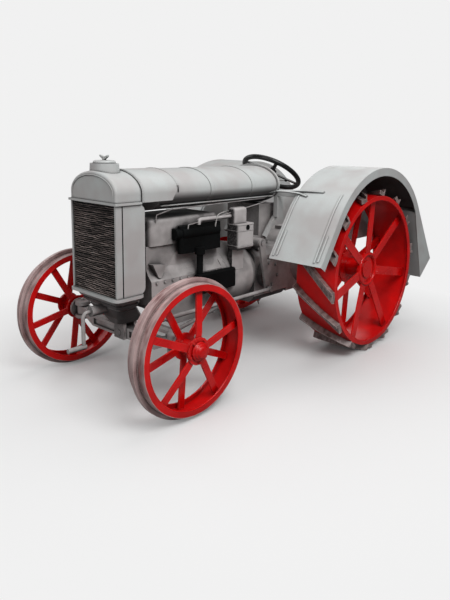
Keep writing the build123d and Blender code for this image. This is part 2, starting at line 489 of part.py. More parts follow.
# the head's foot, a little under halfway between its top and the crankcase's neck
BLOCK_TOP = (HEAD_TOP + CASE_Z + CASE_NECK_UP) / 2 - DECK_DROP
FAN_Z, FAN_R, FAN_SHAFT_R, FAN_HUB_R, FAN_HUB_L, FAN_COLLAR = 800, 160, 12, 34, 34, 12
FAN_BLADES, BLADE_W, BLADE_T, BLADE_PITCH = 4, 62, 4, 24
TIMING_HALF, TIMING_H, TIMING_T = 95, 48, 10
with BuildPart() as engine_block:
    with BuildSketch(front_view(Y_BLOCK)):
        with BuildLine():
            Polyline((-CASE_HALF, CASE_Z), (CASE_HALF, CASE_Z), (CASE_HALF, CASE_Z + CASE_FLANGE),
                     (BLOCK_HALF + CASE_STEP, CASE_Z + CASE_UP), (BLOCK_HALF, CASE_Z + CASE_NECK_UP),
                     (BLOCK_HALF, BLOCK_TOP), (-BLOCK_HALF, BLOCK_TOP), (-BLOCK_HALF, CASE_Z + CASE_NECK_UP),
                     (-BLOCK_HALF - CASE_STEP, CASE_Z + CASE_UP), (-CASE_HALF, CASE_Z + CASE_FLANGE),
                     close=True)
        make_face()
    extrude(amount=-BLOCK_L)
    # skirts outside the pan, deepest at the front
    for side in (-1, 1):
        with BuildSketch(side_view(side * CASE_HALF)):
            with BuildLine():
                Polyline((Y_BLOCK, CASE_Z), (Y_BLOCK, SKIRT_Z), (Y_BLOCK + 30, SKIRT_Z),
                         (Y_BLOCK + SKIRT_BACK, CASE_Z), close=True)
            make_face()
        extrude(amount=-side * SKIRT_T)
    # fan's stub shaft and the timing cover at the front
    rod((0, Y_BLOCK, FAN_Z), (0, Y_BLOCK - FAN_COLLAR - FAN_HUB_L - 16, FAN_Z), FAN_SHAFT_R)
    rod((0, Y_BLOCK, FAN_Z), (0, Y_BLOCK - FAN_COLLAR, FAN_Z), 2 * FAN_SHAFT_R)
    slab((-TIMING_HALF, TIMING_HALF), (Y_BLOCK - TIMING_T, Y_BLOCK), (CASE_Z, CASE_Z + TIMING_H))
save(engine_block, "engine_block")

PIPE_R, PIPE_Z, PIPE_AHEAD, OUTLET_HALF = 26, RAD_HIGH + 28, 36, 40
with BuildPart() as cylinder_head:
    slab((-HEAD_HALF, HEAD_HALF), (Y_BLOCK + HEAD_SHORT, Y_BELL - HEAD_SHORT), (BLOCK_TOP + SEAT, HEAD_TOP))
    fillet(cylinder_head.part.edges().filter_by(Axis.Z), HEAD_ROUND)
    fillet(cylinder_head.part.faces().sort_by(Axis.Z)[-1].edges(), HEAD_ROUND - 4)
    # water outlet, up and forward to the top tank
    slab((-OUTLET_HALF, OUTLET_HALF), (Y_BLOCK - 10, Y_BLOCK + PIPE_AHEAD), (HEAD_TOP - 2 * PIPE_R, HEAD_TOP))
    rod((0, Y_BLOCK, HEAD_TOP - PIPE_R), (0, Y_BLOCK - PIPE_AHEAD, HEAD_TOP + PIPE_AHEAD), PIPE_R)
    rod((0, Y_BLOCK - PIPE_AHEAD, HEAD_TOP + PIPE_AHEAD), (0, Y_BLOCK - PIPE_AHEAD, PIPE_Z + PIPE_R), PIPE_R)
    rod((0, Y_BLOCK - PIPE_AHEAD, PIPE_Z), (0, Y_SHELL + SEAT, PIPE_Z), PIPE_R)
save(cylinder_head, "cylinder_head")

PAN_TOP_HALF, PAN_LOW_HALF, PAN_FRONT_Z, SUMP_Z, SUMP_FROM = CASE_HALF - SKIRT_T - SEAT, 128, 478, 346, 230
PAN_NOSE, PAN_SLOPE, PAN_SIDE_H = 40, 60, 70
with BuildPart() as engine_pan:
    with BuildSketch(side_view(-PAN_TOP_HALF)):
        with BuildLine():
            Polyline((Y_BLOCK, CASE_Z - SEAT), (Y_BLOCK, PAN_FRONT_Z + PAN_NOSE),
                     (Y_BLOCK + PAN_NOSE, PAN_FRONT_Z),
                     (Y_BLOCK + SUMP_FROM - PAN_SLOPE, PAN_FRONT_Z), (Y_BLOCK + SUMP_FROM, SUMP_Z),
                     (Y_BELL - SEAT, SUMP_Z), (Y_BELL - SEAT, CASE_Z - SEAT), close=True)
        make_face()
    extrude(amount=2 * PAN_TOP_HALF)
    with BuildSketch(front_view(Y_BLOCK)):
        with BuildLine():
            Polyline((-PAN_TOP_HALF, CASE_Z), (-PAN_TOP_HALF, CASE_Z - PAN_SIDE_H), (-PAN_LOW_HALF, SUMP_Z),
                     (PAN_LOW_HALF, SUMP_Z), (PAN_TOP_HALF, CASE_Z - PAN_SIDE_H), (PAN_TOP_HALF, CASE_Z),
                     close=True)
        make_face()
    extrude(amount=-BLOCK_L, mode=Mode.INTERSECT)
save(engine_pan, "engine_pan")

with BuildPart() as fan:
    y_fan = Y_BLOCK - FAN_COLLAR - SIDE_PLAY - FAN_HUB_L
    rod((0, y_fan, FAN_Z), (0, y_fan + FAN_HUB_L, FAN_Z), FAN_HUB_R)
    for n in range(FAN_BLADES):
        turn = radians((n + 0.5) * 360 / FAN_BLADES)
        outward = Vector(cos(turn), 0, sin(turn))
        middle = Vector(0, y_fan + FAN_HUB_L / 2, FAN_Z)
        with Locations(Plane(origin=middle, x_dir=outward, z_dir=(0, -1, 0))):
            Box(FAN_R, BLADE_W, BLADE_T, rotation=(BLADE_PITCH, 0, 0),
                align=(Align.MIN, Align.CENTER, Align.CENTER))
    rod((0, y_fan, FAN_Z), (0, y_fan + FAN_HUB_L, FAN_Z), FAN_SHAFT_R + FIT, mode=Mode.SUBTRACT)
save(fan, "fan")

BELL_Z, BELL_FLANGE_R, BELL_R, BELL_END_R = 560, 222, 226, 172

# Exhaust manifold and vaporizer on the left side
MANIFOLD_L, MANIFOLD_LOW, MANIFOLD_BELOW, MANIFOLD_X = 345, 800, 54, (172, 210)
MANIFOLD_HIGH = HEAD_TOP - MANIFOLD_BELOW
MANIFOLD_ROUND, BARREL_R, BARREL_X, NOSE_R, NOSE_L = 18, 46, 174, 34, 32
PORT_W, PORT_H = 72, 74
EXHAUST_R, EXHAUST_FLANGE_R, EXHAUST_FLANGE_T = 20, 32, 14
OUTLET_X, OUTLET_SHARE = CASE_HALF + EXHAUST_R + 4, 0.42
Y_MAN = Y_BELL - 19 - MANIFOLD_L
Y_OUTLET = Y_MAN + OUTLET_SHARE * MANIFOLD_L
barrel_z = MANIFOLD_HIGH - BARREL_R
with BuildPart() as manifold:
    slab(MANIFOLD_X, (Y_MAN, Y_MAN + MANIFOLD_L), (MANIFOLD_LOW, MANIFOLD_HIGH))
    fillet(manifold.part.edges().filter_by(Axis.Z), MANIFOLD_ROUND)
    # round barrel along it, with the vaporizer's nose in front
    rod((BARREL_X, Y_MAN + MANIFOLD_ROUND, barrel_z),
        (BARREL_X, Y_MAN + MANIFOLD_L - MANIFOLD_ROUND, barrel_z), BARREL_R)
    rod((BARREL_X + 8, Y_MAN - NOSE_L, barrel_z), (BARREL_X + 8, Y_MAN + MANIFOLD_ROUND, barrel_z), NOSE_R)
    # branches to the ports
    for share in (0.14, 0.5, 0.86):
        y = Y_MAN + share * MANIFOLD_L
        slab((HEAD_HALF + SEAT, MANIFOLD_X[1] - MANIFOLD_ROUND), (y - PORT_W / 2, y + PORT_W / 2),
             (barrel_z - PORT_H / 2, barrel_z + PORT_H / 2))
    # outlet elbow, reaching out over the crankcase
    slab((MANIFOLD_X[0], OUTLET_X), (Y_OUTLET - EXHAUST_FLANGE_R, Y_OUTLET + EXHAUST_FLANGE_R),
         (MANIFOLD_LOW, MANIFOLD_LOW + 2 * EXHAUST_FLANGE_T))
    rod((OUTLET_X, Y_OUTLET, MANIFOLD_LOW - EXHAUST_FLANGE_T),
        (OUTLET_X, Y_OUTLET, MANIFOLD_LOW + 2 * EXHAUST_FLANGE_T), EXHAUST_FLANGE_R)
    # flat against the cylinder head
    slab((0, HEAD_HALF + SEAT), (Y_MAN - NOSE_L, Y_MAN + MANIFOLD_L),
         (barrel_z - 2 * BARREL_R, MANIFOLD_HIGH), mode=Mode.SUBTRACT)
save(manifold, "manifold")

# Exhaust pipe down to a flat silencer beside the crankcase
SILENCER_X, SILENCER_L, SILENCER_Z, SILENCER_ROUND = (206, 252), 322, (534, 662), 14
Y_SILENCER = Y_OUTLET - 30
with BuildPart() as exhaust_pipe:
    slab(SILENCER_X, (Y_SILENCER, Y_SILENCER + SILENCER_L), SILENCER_Z)
    fillet(exhaust_pipe.part.edges().filter_by(Axis.Y), SILENCER_ROUND)
    rod((OUTLET_X, Y_OUTLET, SILENCER_Z[0] + SILENCER_ROUND),
        (OUTLET_X, Y_OUTLET, MANIFOLD_LOW - EXHAUST_FLANGE_T - SEAT), EXHAUST_R)
    rod((0, Y_BELL - SEAT, BELL_Z), (0, Y_GEARS, BELL_Z), BELL_R + SEAT, mode=Mode.SUBTRACT)
save(exhaust_pipe, "exhaust_pipe")

# Air washer: a can on a foot beside the flywheel housing, with a narrower domed tower
WASHER_X, WASHER_Y, WASHER_LOW, WASHER_ROUND, WASHER_BEVEL = (176, 286), (56, 218), 772, 24, 20
TOWER_X, TOWER_Y, TOWER_UP, TOWER_H, TOWER_ROUND = (182, 248), (62, 188), 28, 104, 22
TOWER_Z = HEAD_TOP + TOWER_UP
WASHER_Z = (WASHER_LOW, TOWER_Z - TOWER_H)
WASHER_FOOT_X, WASHER_FOOT_Y, SUCTION_R = (176, 214), (80, 190), 14


def can(x, y, z, corner):
    """Upright can with rounded corners, its y limits behind the flywheel housing's front."""
    with BuildSketch(top_view(z[0])) as plan:
        with Locations(((x[0] + x[1]) / 2, Y_BELL + (y[0] + y[1]) / 2)):
            RectangleRounded(x[1] - x[0], y[1] - y[0], corner)
    extrude(plan.sketch, amount=z[1] - z[0])


suction_x = TOWER_X[0] + 26
suction_z = MANIFOLD_HIGH + 2 * SUCTION_R
suction_start = (suction_x, Y_BELL + TOWER_Y[0] + TOWER_ROUND, suction_z)
with BuildPart() as air_washer:
    can(WASHER_X, WASHER_Y, WASHER_Z, WASHER_ROUND)
    chamfer(air_washer.part.faces().sort_by(Axis.Z)[0].edges(), WASHER_BEVEL)
    can(TOWER_X, TOWER_Y, (WASHER_Z[1] - 1, TOWER_Z), TOWER_ROUND)
    fillet(air_washer.part.faces().sort_by(Axis.Z)[-1].edges(), TOWER_ROUND - 2)
    # foot, cut to the flywheel housing
    slab(WASHER_FOOT_X, [Y_BELL + y for y in WASHER_FOOT_Y], (BELL_Z, WASHER_Z[0] + WASHER_BEVEL + 10))
    rod((0, Y_BELL - SEAT, BELL_Z), (0, Y_GEARS, BELL_Z), BELL_R + SEAT, mode=Mode.SUBTRACT)
    # suction pipe forward to the vaporizer
    with BuildLine():
        FilletPolyline(suction_start, (suction_x, Y_OUTLET, suction_z),
                       (suction_x, Y_OUTLET, MANIFOLD_HIGH + SEAT), radius=SUCTION_R + 6)
    with BuildSketch(Plane(origin=suction_start, z_dir=(0, -1, 0))):
        Circle(SUCTION_R)
    sweep()
save(air_washer, "air_washer")

IGNITION_L, IGNITION_DEEP, IGNITION_LOW, IGNITION_BELOW, IGNITION_AHEAD = 250, 74, 752, 10, 400
IGNITION_Z = (IGNITION_LOW, BLOCK_TOP - IGNITION_BELOW)
with BuildPart() as ignition_box:
    slab((-BLOCK_HALF - IGNITION_DEEP, -BLOCK_HALF - SEAT),
         (Y_BELL - IGNITION_AHEAD, Y_BELL - IGNITION_AHEAD + IGNITION_L), IGNITION_Z)
    fillet(ignition_box.part.edges().filter_by(Axis.Y), 6)
save(ignition_box, "ignition_box")

# ================================================================ flywheel, gears and rear axle
# Flywheel housing's outline along the tractor: share of its length, radius
bell_line = [(0, BELL_FLANGE_R), (0.1, BELL_FLANGE_R), (0.1, 206), (0.3, 224), (0.55, BELL_R), (0.8, 212),
             (1, BELL_END_R)]
with BuildPart() as flywheel_housing:
    with BuildSketch(Plane(origin=(0, 0, BELL_Z), x_dir=(0, 1, 0), z_dir=(1, 0, 0))):
        with BuildLine():
            Polyline((Y_BELL, 0), *[(Y_BELL + share * BELL_L, r) for share, r in bell_line], (Y_GEARS, 0),
                     close=True)
        make_face()
    revolve(axis=Axis((0, 0, BELL_Z), (0, 1, 0)))
save(flywheel_housing, "flywheel_housing")

GEAR_HALF, GEAR_LOW, GEAR_TOP = 160, 338, 718
with BuildPart() as transmission_housing:
    slab((-GEAR_HALF, GEAR_HALF), (Y_GEARS + SEAT, Y_DIFF - SEAT), (GEAR_LOW, GEAR_TOP))
    chamfer(transmission_housing.part.edges().filter_by(Axis.Y), 48)
save(transmission_housing, "transmission_housing")

COVER_R, COVER_T, COVER_AHEAD, COVER_Z, COVER_HOLES, COVER_PCD_R, COVER_HOLE_R = 98, 40, 490, 540, 6, 84, 6
with BuildPart() as pulley_cover:
    for side in (-1, 1):
        rod((side * (GEAR_HALF + SEAT), Y_REAR - COVER_AHEAD, COVER_Z),
            (side * (GEAR_HALF + COVER_T), Y_REAR - COVER_AHEAD, COVER_Z), COVER_R)
    for n in range(COVER_HOLES):
        turn = radians(n * 360 / COVER_HOLES)
        y, z = Y_REAR - COVER_AHEAD + COVER_PCD_R * cos(turn), COVER_Z + COVER_PCD_R * sin(turn)
        rod((-GEAR_HALF - COVER_T, y, z), (-GEAR_HALF - COVER_T + 20, y, z), COVER_HOLE_R, mode=Mode.SUBTRACT)
save(pulley_cover, "pulley_cover")

TRUMPET_END_X = 455
DIFF_R, DIFF_HALF_X, TRUMPET_R, TRUMPET_END_R, TRUMPET_FLANGE_R = 232, 168, 128, 88, 112
PAD_HALF, PAD_OUT, PAD_UP, PAD_ROOT = 84, 16, 8, 60
BAR_PAD_LOW, BAR_PAD_UP = 190, 40      # drawbar's pad from the rear axle's height
SEAT_PAD_AHEAD, SEAT_PAD_BACK, SEAT_PAD_FOOT = 90, 150, 150
# Axle housing's outline across the tractor: x, radius
trumpet_line = [(0, DIFF_R), (DIFF_HALF_X - 50, DIFF_R), (DIFF_HALF_X, DIFF_R - 60),
                (DIFF_HALF_X + 14, TRUMPET_R + 20), (DIFF_HALF_X + 30, TRUMPET_R),
                (TRUMPET_END_X - 26, TRUMPET_END_R), (TRUMPET_END_X - 20, TRUMPET_FLANGE_R),
                (TRUMPET_END_X, TRUMPET_FLANGE_R)]
with BuildPart() as rear_axle_housing:
    with BuildSketch(Plane(origin=(0, Y_REAR, R_AXLE_Z), x_dir=(1, 0, 0), z_dir=(0, -1, 0))):
        with BuildLine():
            Polyline(*[(x, r) for x, r in trumpet_line], (TRUMPET_END_X, 0), (-TRUMPET_END_X, 0),
                     *[(-x, r) for x, r in reversed(trumpet_line[1:])], close=True)
        make_face()
    revolve(axis=Axis((0, Y_REAR, R_AXLE_Z), (1, 0, 0)))
    slab((-GEAR_HALF + 10, GEAR_HALF - 10), (Y_DIFF, Y_REAR), (GEAR_LOW + 20, GEAR_TOP - 20))
    # pads for the drawbar at the back and for the seat's spring on top
    slab((-PAD_HALF, PAD_HALF), (Y_REAR + DIFF_R - PAD_ROOT, Y_REAR + DIFF_R + PAD_OUT),
         (R_AXLE_Z - BAR_PAD_LOW, R_AXLE_Z + BAR_PAD_UP))
    slab((-PAD_HALF, PAD_HALF), (Y_REAR - SEAT_PAD_AHEAD, Y_REAR + SEAT_PAD_BACK),
         (R_AXLE_Z + SEAT_PAD_FOOT, R_AXLE_Z + DIFF_R + PAD_UP))
    for side in (-1, 1):
        rod((side * TRUMPET_END_X, Y_REAR, R_AXLE_Z),
            (side * (R_HUB_OUT_X - R_RECESS - SIDE_PLAY), Y_REAR, R_AXLE_Z), R_SHAFT_R)
save(rear_axle_housing, "rear_axle_housing")

HITCH_R, HITCH_Z, HITCH_T, HITCH_BACK, HITCH_END_R = 16, 420, 26, 92, 45
FOOT_HALF, FOOT_T, FOOT_DOWN, FOOT_UP = 80, 24, 34, 60
y_bar = Y_REAR + DIFF_R + PAD_OUT
with BuildPart() as drawbar:
    slab((-FOOT_HALF, FOOT_HALF), (y_bar + SEAT, y_bar + FOOT_T), (HITCH_Z - FOOT_DOWN, HITCH_Z + FOOT_UP))
    with BuildSketch(top_view(HITCH_Z)):
        with Locations((0, y_bar + FOOT_T / 2)):
            Rectangle(2 * HITCH_END_R, HITCH_BACK - FOOT_T / 2, align=(Align.CENTER, Align.MIN))
        with Locations((0, y_bar + HITCH_BACK)):
            Circle(HITCH_END_R)
            Circle(HITCH_R, mode=Mode.SUBTRACT)
    extrude(amount=HITCH_T / 2, both=True)
save(drawbar, "drawbar")

# ================================================================ seat
SPRING_W, SPRING_T, SPRING_BEND_R, SPRING_SLOPE = 62, 10, 90, 34
SPRING_AHEAD, SPRING_BACK, SPRING_END_L = 40, 130, 60
SEAT_BACK, SEAT_Z, SEAT_R, SEAT_T, SEAT_RIM_UP, SEAT_RIM_TILT = 365, 958, 300, 4, 84, 0.22
spring_z = R_AXLE_Z + DIFF_R + PAD_UP + SEAT
bend_rise = SPRING_BEND_R * (1 - cos(radians(SPRING_SLOPE)))
climb = (SEAT_Z - SEAT - SPRING_T - spring_z - 2 * bend_rise) / sin(radians(SPRING_SLOPE))
with BuildPart() as seat_spring:
    with BuildSketch(side_view(-SPRING_W / 2)):
        with BuildLine():
            foot = Line((Y_REAR - SPRING_AHEAD, spring_z + SPRING_T / 2),
                        (Y_REAR + SPRING_BACK, spring_z + SPRING_T / 2))
            low_bend = JernArc(foot @ 1, (1, 0), SPRING_BEND_R, SPRING_SLOPE)
            slope = Line(low_bend @ 1, (low_bend @ 1) + (low_bend % 1) * climb)
            high_bend = JernArc(slope @ 1, slope % 1, SPRING_BEND_R, -SPRING_SLOPE)
            Line(high_bend @ 1, (high_bend @ 1) + Vector(SPRING_END_L, 0))
        trace(line_width=SPRING_T)
    extrude(amount=SPRING_W)
save(seat_spring, "seat_spring")

seat_y, seat_z = Y_REAR + SEAT_BACK, SEAT_Z
with BuildPart() as pan_seat:
    with Locations((0, seat_y, seat_z + SEAT_R)):
        Sphere(SEAT_R)
        Sphere(SEAT_R - SEAT_T, mode=Mode.SUBTRACT)
    # rim slopes up towards the back
    rim_plane = Plane(origin=(0, seat_y, seat_z + SEAT_RIM_UP), z_dir=(0, -SEAT_RIM_TILT, 1))
    split(bisect_by=rim_plane, keep=Keep.BOTTOM)
save(pan_seat, "pan_seat")

# ================================================================ fenders
FENDER_Y = Y_REAR + FENDER_BACK
leg_sin, leg_cos = sin(radians(LEG_ANGLE)), cos(radians(LEG_ANGLE))
rear_foot = (Y_REAR + REAR_REACH, REAR_FOOT_Z)
box_foot = (rear_foot[0] - BOX_FOOT_IN, rear_foot[1] - BOX_FOOT_DOWN)


def on_arc(radius, turn):
    """Point of the fender's arc: turn in degrees up from straight back."""
    return (FENDER_Y + radius * cos(radians(turn)), FENDER_Z + radius * sin(radians(turn)))


def front_foot(radius):
    """Where the front leg at this radius reaches the foot line, square to the leg."""
    knee = on_arc(radius, 180 - LEG_ANGLE)
    run = (on_arc(FENDER_R, 180 - LEG_ANGLE)[1] - FRONT_FOOT_Z) / leg_cos
    return (knee[0] - run * leg_sin, knee[1] - run * leg_cos)


def back_foot(radius):
    """Where the rear leg at this radius meets the end of the fender."""
    knee = on_arc(radius, LEG_ANGLE)
    drop = (FENDER_Z + knee_up - REAR_FOOT_Z) / leg_cos
    return (knee[0] + drop * leg_sin, knee[1] - drop * leg_cos)


def fender_outline(x, outer, inner_points):
    """Outer line at radius outer from the front foot to the rear foot, closed by inner points."""
    with BuildSketch(side_view(x)) as outline:
        with BuildLine():
            Line(front_foot(outer), on_arc(outer, 180 - LEG_ANGLE))
            ThreePointArc(on_arc(outer, 180 - LEG_ANGLE), on_arc(outer, 90), on_arc(outer, LEG_ANGLE))
            Line(on_arc(outer, LEG_ANGLE), back_foot(outer))
            inner_points(outer)
        make_face()
    return outline.sketch


def skin_inside(outer):
    """Inner side of the top skin."""
    inner = outer - FENDER_T
    Line(back_foot(outer), back_foot(inner))
    Line(back_foot(inner), on_arc(inner, LEG_ANGLE))
    ThreePointArc(on_arc(inner, LEG_ANGLE), on_arc(inner, 90), on_arc(inner, 180 - LEG_ANGLE))
    Line(on_arc(inner, 180 - LEG_ANGLE), front_foot(inner))
    Line(front_foot(inner), front_foot(outer))


def valance_inside(outer):
    """Inner edge of the outer side band, with the box end at the rear."""
    inner = FENDER_R - VALANCE_W
    Line(back_foot(outer), box_foot)
    Line(box_foot, on_arc(inner, LEG_ANGLE))
    ThreePointArc(on_arc(inner, LEG_ANGLE), on_arc(inner, 90), on_arc(inner, 180 - LEG_ANGLE))
    Line(on_arc(inner, 180 - LEG_ANGLE), front_foot(inner))
    Line(front_foot(inner), front_foot(outer))


def plate_inside(outer):
    """Lower edge of the inner side plate: level, above the axle housing."""
    knee = on_arc(FENDER_R - VALANCE_W, LEG_ANGLE)
    share = (knee[1] - FRONT_FOOT_Z) / (knee[1] - box_foot[1])
    Polyline(back_foot(outer), box_foot, (knee[0] + share * (box_foot[0] - knee[0]), FRONT_FOOT_Z),
             (front_foot(outer)[0] + 30, FRONT_FOOT_Z), front_foot(outer))


with BuildPart() as fender_left:
    extrude(fender_outline(FENDER_IN_X, FENDER_R, skin_inside), amount=FENDER_OUT_X - FENDER_IN_X)
    extrude(fender_outline(FENDER_OUT_X - FENDER_T, FENDER_R - 1, valance_inside), amount=FENDER_T)
    extrude(fender_outline(FENDER_IN_X, FENDER_R - 1, plate_inside), amount=FENDER_T)
save(fender_left, "fender_left")
mirrored(fender_left, "fender_right")


BOX_CLEAR = FENDER_T + SEAT
with BuildPart() as box_left:
    skin = FENDER_R - BOX_CLEAR
    wall = FENDER_R - VALANCE_W
    with BuildSketch(side_view(FENDER_IN_X + BOX_CLEAR)):
        with BuildLine():
            Polyline(on_arc(skin, LEG_ANGLE - 2), back_foot(skin), box_foot, on_arc(wall, LEG_ANGLE - 2),
                     close=True)
        make_face()
    extrude(amount=FENDER_OUT_X - FENDER_IN_X - 2 * BOX_CLEAR)
with BuildPart() as tool_boxes:
    add(box_left.part)
    mirror(box_left.part, about=Plane.YZ)
save(tool_boxes, "tool_boxes")

# Straps from the dash to the fenders, and brackets from the axle housing up to the fenders
STAY_W, STAY_T, STAY_Z, STAY_FOOT_L = 44, 8, TANK_Z - 58, 70
with BuildPart() as fender_stays:
    for side in (-1, 1):
        x = sorted((side * (TANK_HALF - 60), side * (FENDER_IN_X - SEAT)))
        slab(x, (Y_DASH + SEAT, Y_DASH + SEAT + STAY_T), (STAY_Z - STAY_W / 2, STAY_Z + STAY_W / 2))
        x = sorted((side * (FENDER_IN_X - SEAT - STAY_T), side * (FENDER_IN_X - SEAT)))
        slab(x, (Y_DASH + SEAT, Y_DASH + STAY_FOOT_L), (STAY_Z - STAY_W / 2, STAY_Z + STAY_W / 2))
save(fender_stays, "fender_stays")

BRACKET_W, BRACKET_T, BRACKET_TOP = 150, 16, 790
with BuildPart() as fender_brackets:
    for side in (-1, 1):
        x = sorted((side * (FENDER_IN_X - SEAT - BRACKET_T), side * (FENDER_IN_X - SEAT)))
        slab(x, (Y_REAR - BRACKET_W / 2, Y_REAR + BRACKET_W / 2), (R_AXLE_Z, BRACKET_TOP))
    share = (FENDER_IN_X - SEAT - BRACKET_T - DIFF_HALF_X - 30) / (TRUMPET_END_X - 26 - DIFF_HALF_X - 30)
    seat_r = TRUMPET_R + share * (TRUMPET_END_R - TRUMPET_R) + SEAT
    rod((-FENDER_OUT_X, Y_REAR, R_AXLE_Z), (FENDER_OUT_X, Y_REAR, R_AXLE_Z), seat_r, mode=Mode.SUBTRACT)
save(fender_brackets, "fender_brackets")

# ================================================================ steering gear, column and wheel
WHEEL_R, WHEEL_RIM_R, WHEEL_TILT, WHEEL_AHEAD, WHEEL_Z = 215, 18, 33.5, 257, TANK_Z + 66
WHEEL_HUB_R, WHEEL_HUB_L, COLUMN_R, COLUMN_SHAFT_R = 34, 40, 27, 12
column_way = Vector(0, sin(radians(WHEEL_TILT)), cos(radians(WHEEL_TILT)))
wheel_centre = Vector(0, Y_REAR - WHEEL_AHEAD, WHEEL_Z)
COLUMN_L = 320
GEAR_BASE = GEAR_TOP + SEAT
GEAR_CASE_TOP = TANK_Z - TANK_RISE - DASH_OUT - SEAT
GEAR_WALL, GEAR_POCKET = 16, 8
# Housing's outline from the side: distance ahead of the rear axle, height
WAIST_UP, BACK_BELOW, HOLLOW_DROP = 108, 110, 16
gear_front, gear_top_back, gear_foot = 568, 400, (492, GEAR_BASE)
gear_waist, gear_back = (520, GEAR_TOP + WAIST_UP), (404, GEAR_CASE_TOP + SEAT - BACK_BELOW)
gear_hollow = (452, (gear_waist[1] + gear_back[1]) / 2 - HOLLOW_DROP)
with BuildPart() as steering_gear:
    with BuildSketch(side_view(-GEAR_X)) as gear_outline:
        with BuildLine():
            Polyline((Y_REAR - gear_waist[0], gear_waist[1]), (Y_REAR - gear_foot[0], gear_foot[1]),
                     (Y_REAR - gear_front, GEAR_BASE), (Y_REAR - gear_front, GEAR_CASE_TOP),
                     (Y_REAR - gear_top_back, GEAR_CASE_TOP), (Y_REAR - gear_back[0], gear_back[1]))
            ThreePointArc((Y_REAR - gear_back[0], gear_back[1]), (Y_REAR - gear_hollow[0], gear_hollow[1]),
                          (Y_REAR - gear_waist[0], gear_waist[1]))
        make_face()
    extrude(amount=2 * GEAR_X)
    # each side is sunk inside a raised border
    for side in (-1, 1):
        with BuildSketch(side_view(side * GEAR_X)):
            add(offset(gear_outline.sketch.moved(Location(((1 + side) * GEAR_X, 0, 0))), -GEAR_WALL))
        extrude(amount=-side * GEAR_POCKET, mode=Mode.SUBTRACT)
    # sector shaft's boss, reaching out to the arm
    rod((0, Y_SECTOR, SECTOR_Z), (BOSS_END_X, Y_SECTOR, SECTOR_Z), BOSS_R)
    slab((0, GEAR_X), (Y_SECTOR, Y_REAR - gear_front + 1), (SECTOR_Z - BOSS_R, SECTOR_Z + BOSS_R))
    rod((GEAR_X, Y_SECTOR, SECTOR_Z), (BOSS_END_X, Y_SECTOR, SECTOR_Z), SECTOR_R + FIT, mode=Mode.SUBTRACT)
    # column up to the wheel, and the shaft's end that the wheel turns on
    hub_low = wheel_centre - column_way * (WHEEL_HUB_L / 2)
    rod(hub_low - column_way * SIDE_PLAY, hub_low - column_way * COLUMN_L, COLUMN_R)
    rod(wheel_centre + column_way * (WHEEL_HUB_L / 2 + 8), hub_low - column_way * 20, COLUMN_SHAFT_R)
save(steering_gear, "steering_gear")

wheel_plane = Plane(origin=wheel_centre, x_dir=(1, 0, 0), z_dir=column_way)
with BuildPart(wheel_plane) as steering_wheel:
    Torus(WHEEL_R, WHEEL_RIM_R)
    with Locations((0, 0, 0)):
        Cylinder(WHEEL_HUB_R, WHEEL_HUB_L)
    with PolarLocations(0, 4, start_angle=45):
        with Locations((WHEEL_R / 2, 0, 0)):
            Box(WHEEL_R, 26, 9)
    Cylinder(COLUMN_SHAFT_R + FIT, WHEEL_HUB_L, mode=Mode.SUBTRACT)
save(steering_wheel, "steering_wheel")

LEVER_R, KNOB_R, LEVER_AHEAD, LEVER_TOP, LEVER_SIDE, LEVER_BASE_R = 9, 20, (330, 250), 292, 40, 30
PEDAL_SHAFT_R, PEDAL_R, PEDAL_AHEAD, PEDAL_RISE, PEDAL_RUN = 14, 11, 300, 150, 100
PAD_W, PAD_H, PAD_T = 80, 90, 12
with BuildPart() as levers:
    # gear lever
    knob = (LEVER_SIDE, Y_REAR - LEVER_AHEAD[1], GEAR_TOP + LEVER_TOP)
    rod((0, Y_REAR - LEVER_AHEAD[0], GEAR_TOP + SEAT), (0, Y_REAR - LEVER_AHEAD[0], GEAR_TOP + LEVER_BASE_R),
        LEVER_BASE_R)
    rod((0, Y_REAR - LEVER_AHEAD[0], GEAR_TOP + LEVER_BASE_R / 2), knob, LEVER_R)
    with Locations(knob):
        Sphere(KNOB_R)
    # clutch pedal on its cross shaft
    x_pedal, y_shaft, z_shaft = -GEAR_HALF - PAD_W / 2, Y_REAR - PEDAL_AHEAD, GEAR_TOP + PEDAL_SHAFT_R + SEAT
    rod((-GEAR_HALF + 60, y_shaft, z_shaft), (-GEAR_HALF - 60, y_shaft, z_shaft), PEDAL_SHAFT_R)
    rod((x_pedal, y_shaft, z_shaft), (x_pedal, y_shaft - PEDAL_RUN, z_shaft + PEDAL_RISE), PEDAL_R)
    slab((x_pedal - PAD_W / 2, x_pedal + PAD_W / 2),
         (y_shaft - PEDAL_RUN - PAD_T / 2, y_shaft - PEDAL_RUN + PAD_T / 2),
         (z_shaft + PEDAL_RISE - PAD_H / 2, z_shaft + PEDAL_RISE + PAD_H / 2))
save(levers, "levers")

# ================================================================ front support and crank
CRANK_BELOW = 103                       # crank's axis under the radiator
CRANK_Z = RAD_LOW - CRANK_BELOW
ledge_z = RAD_LOW - BASE_H - 4
SUPPORT_TOP_Z = ledge_z - SEAT
BOWL_UP, BOWL_FOOT_UP = 75, 35         # bowl's widest part and its foot, above the beam
SUPPORT_ROUND = 34
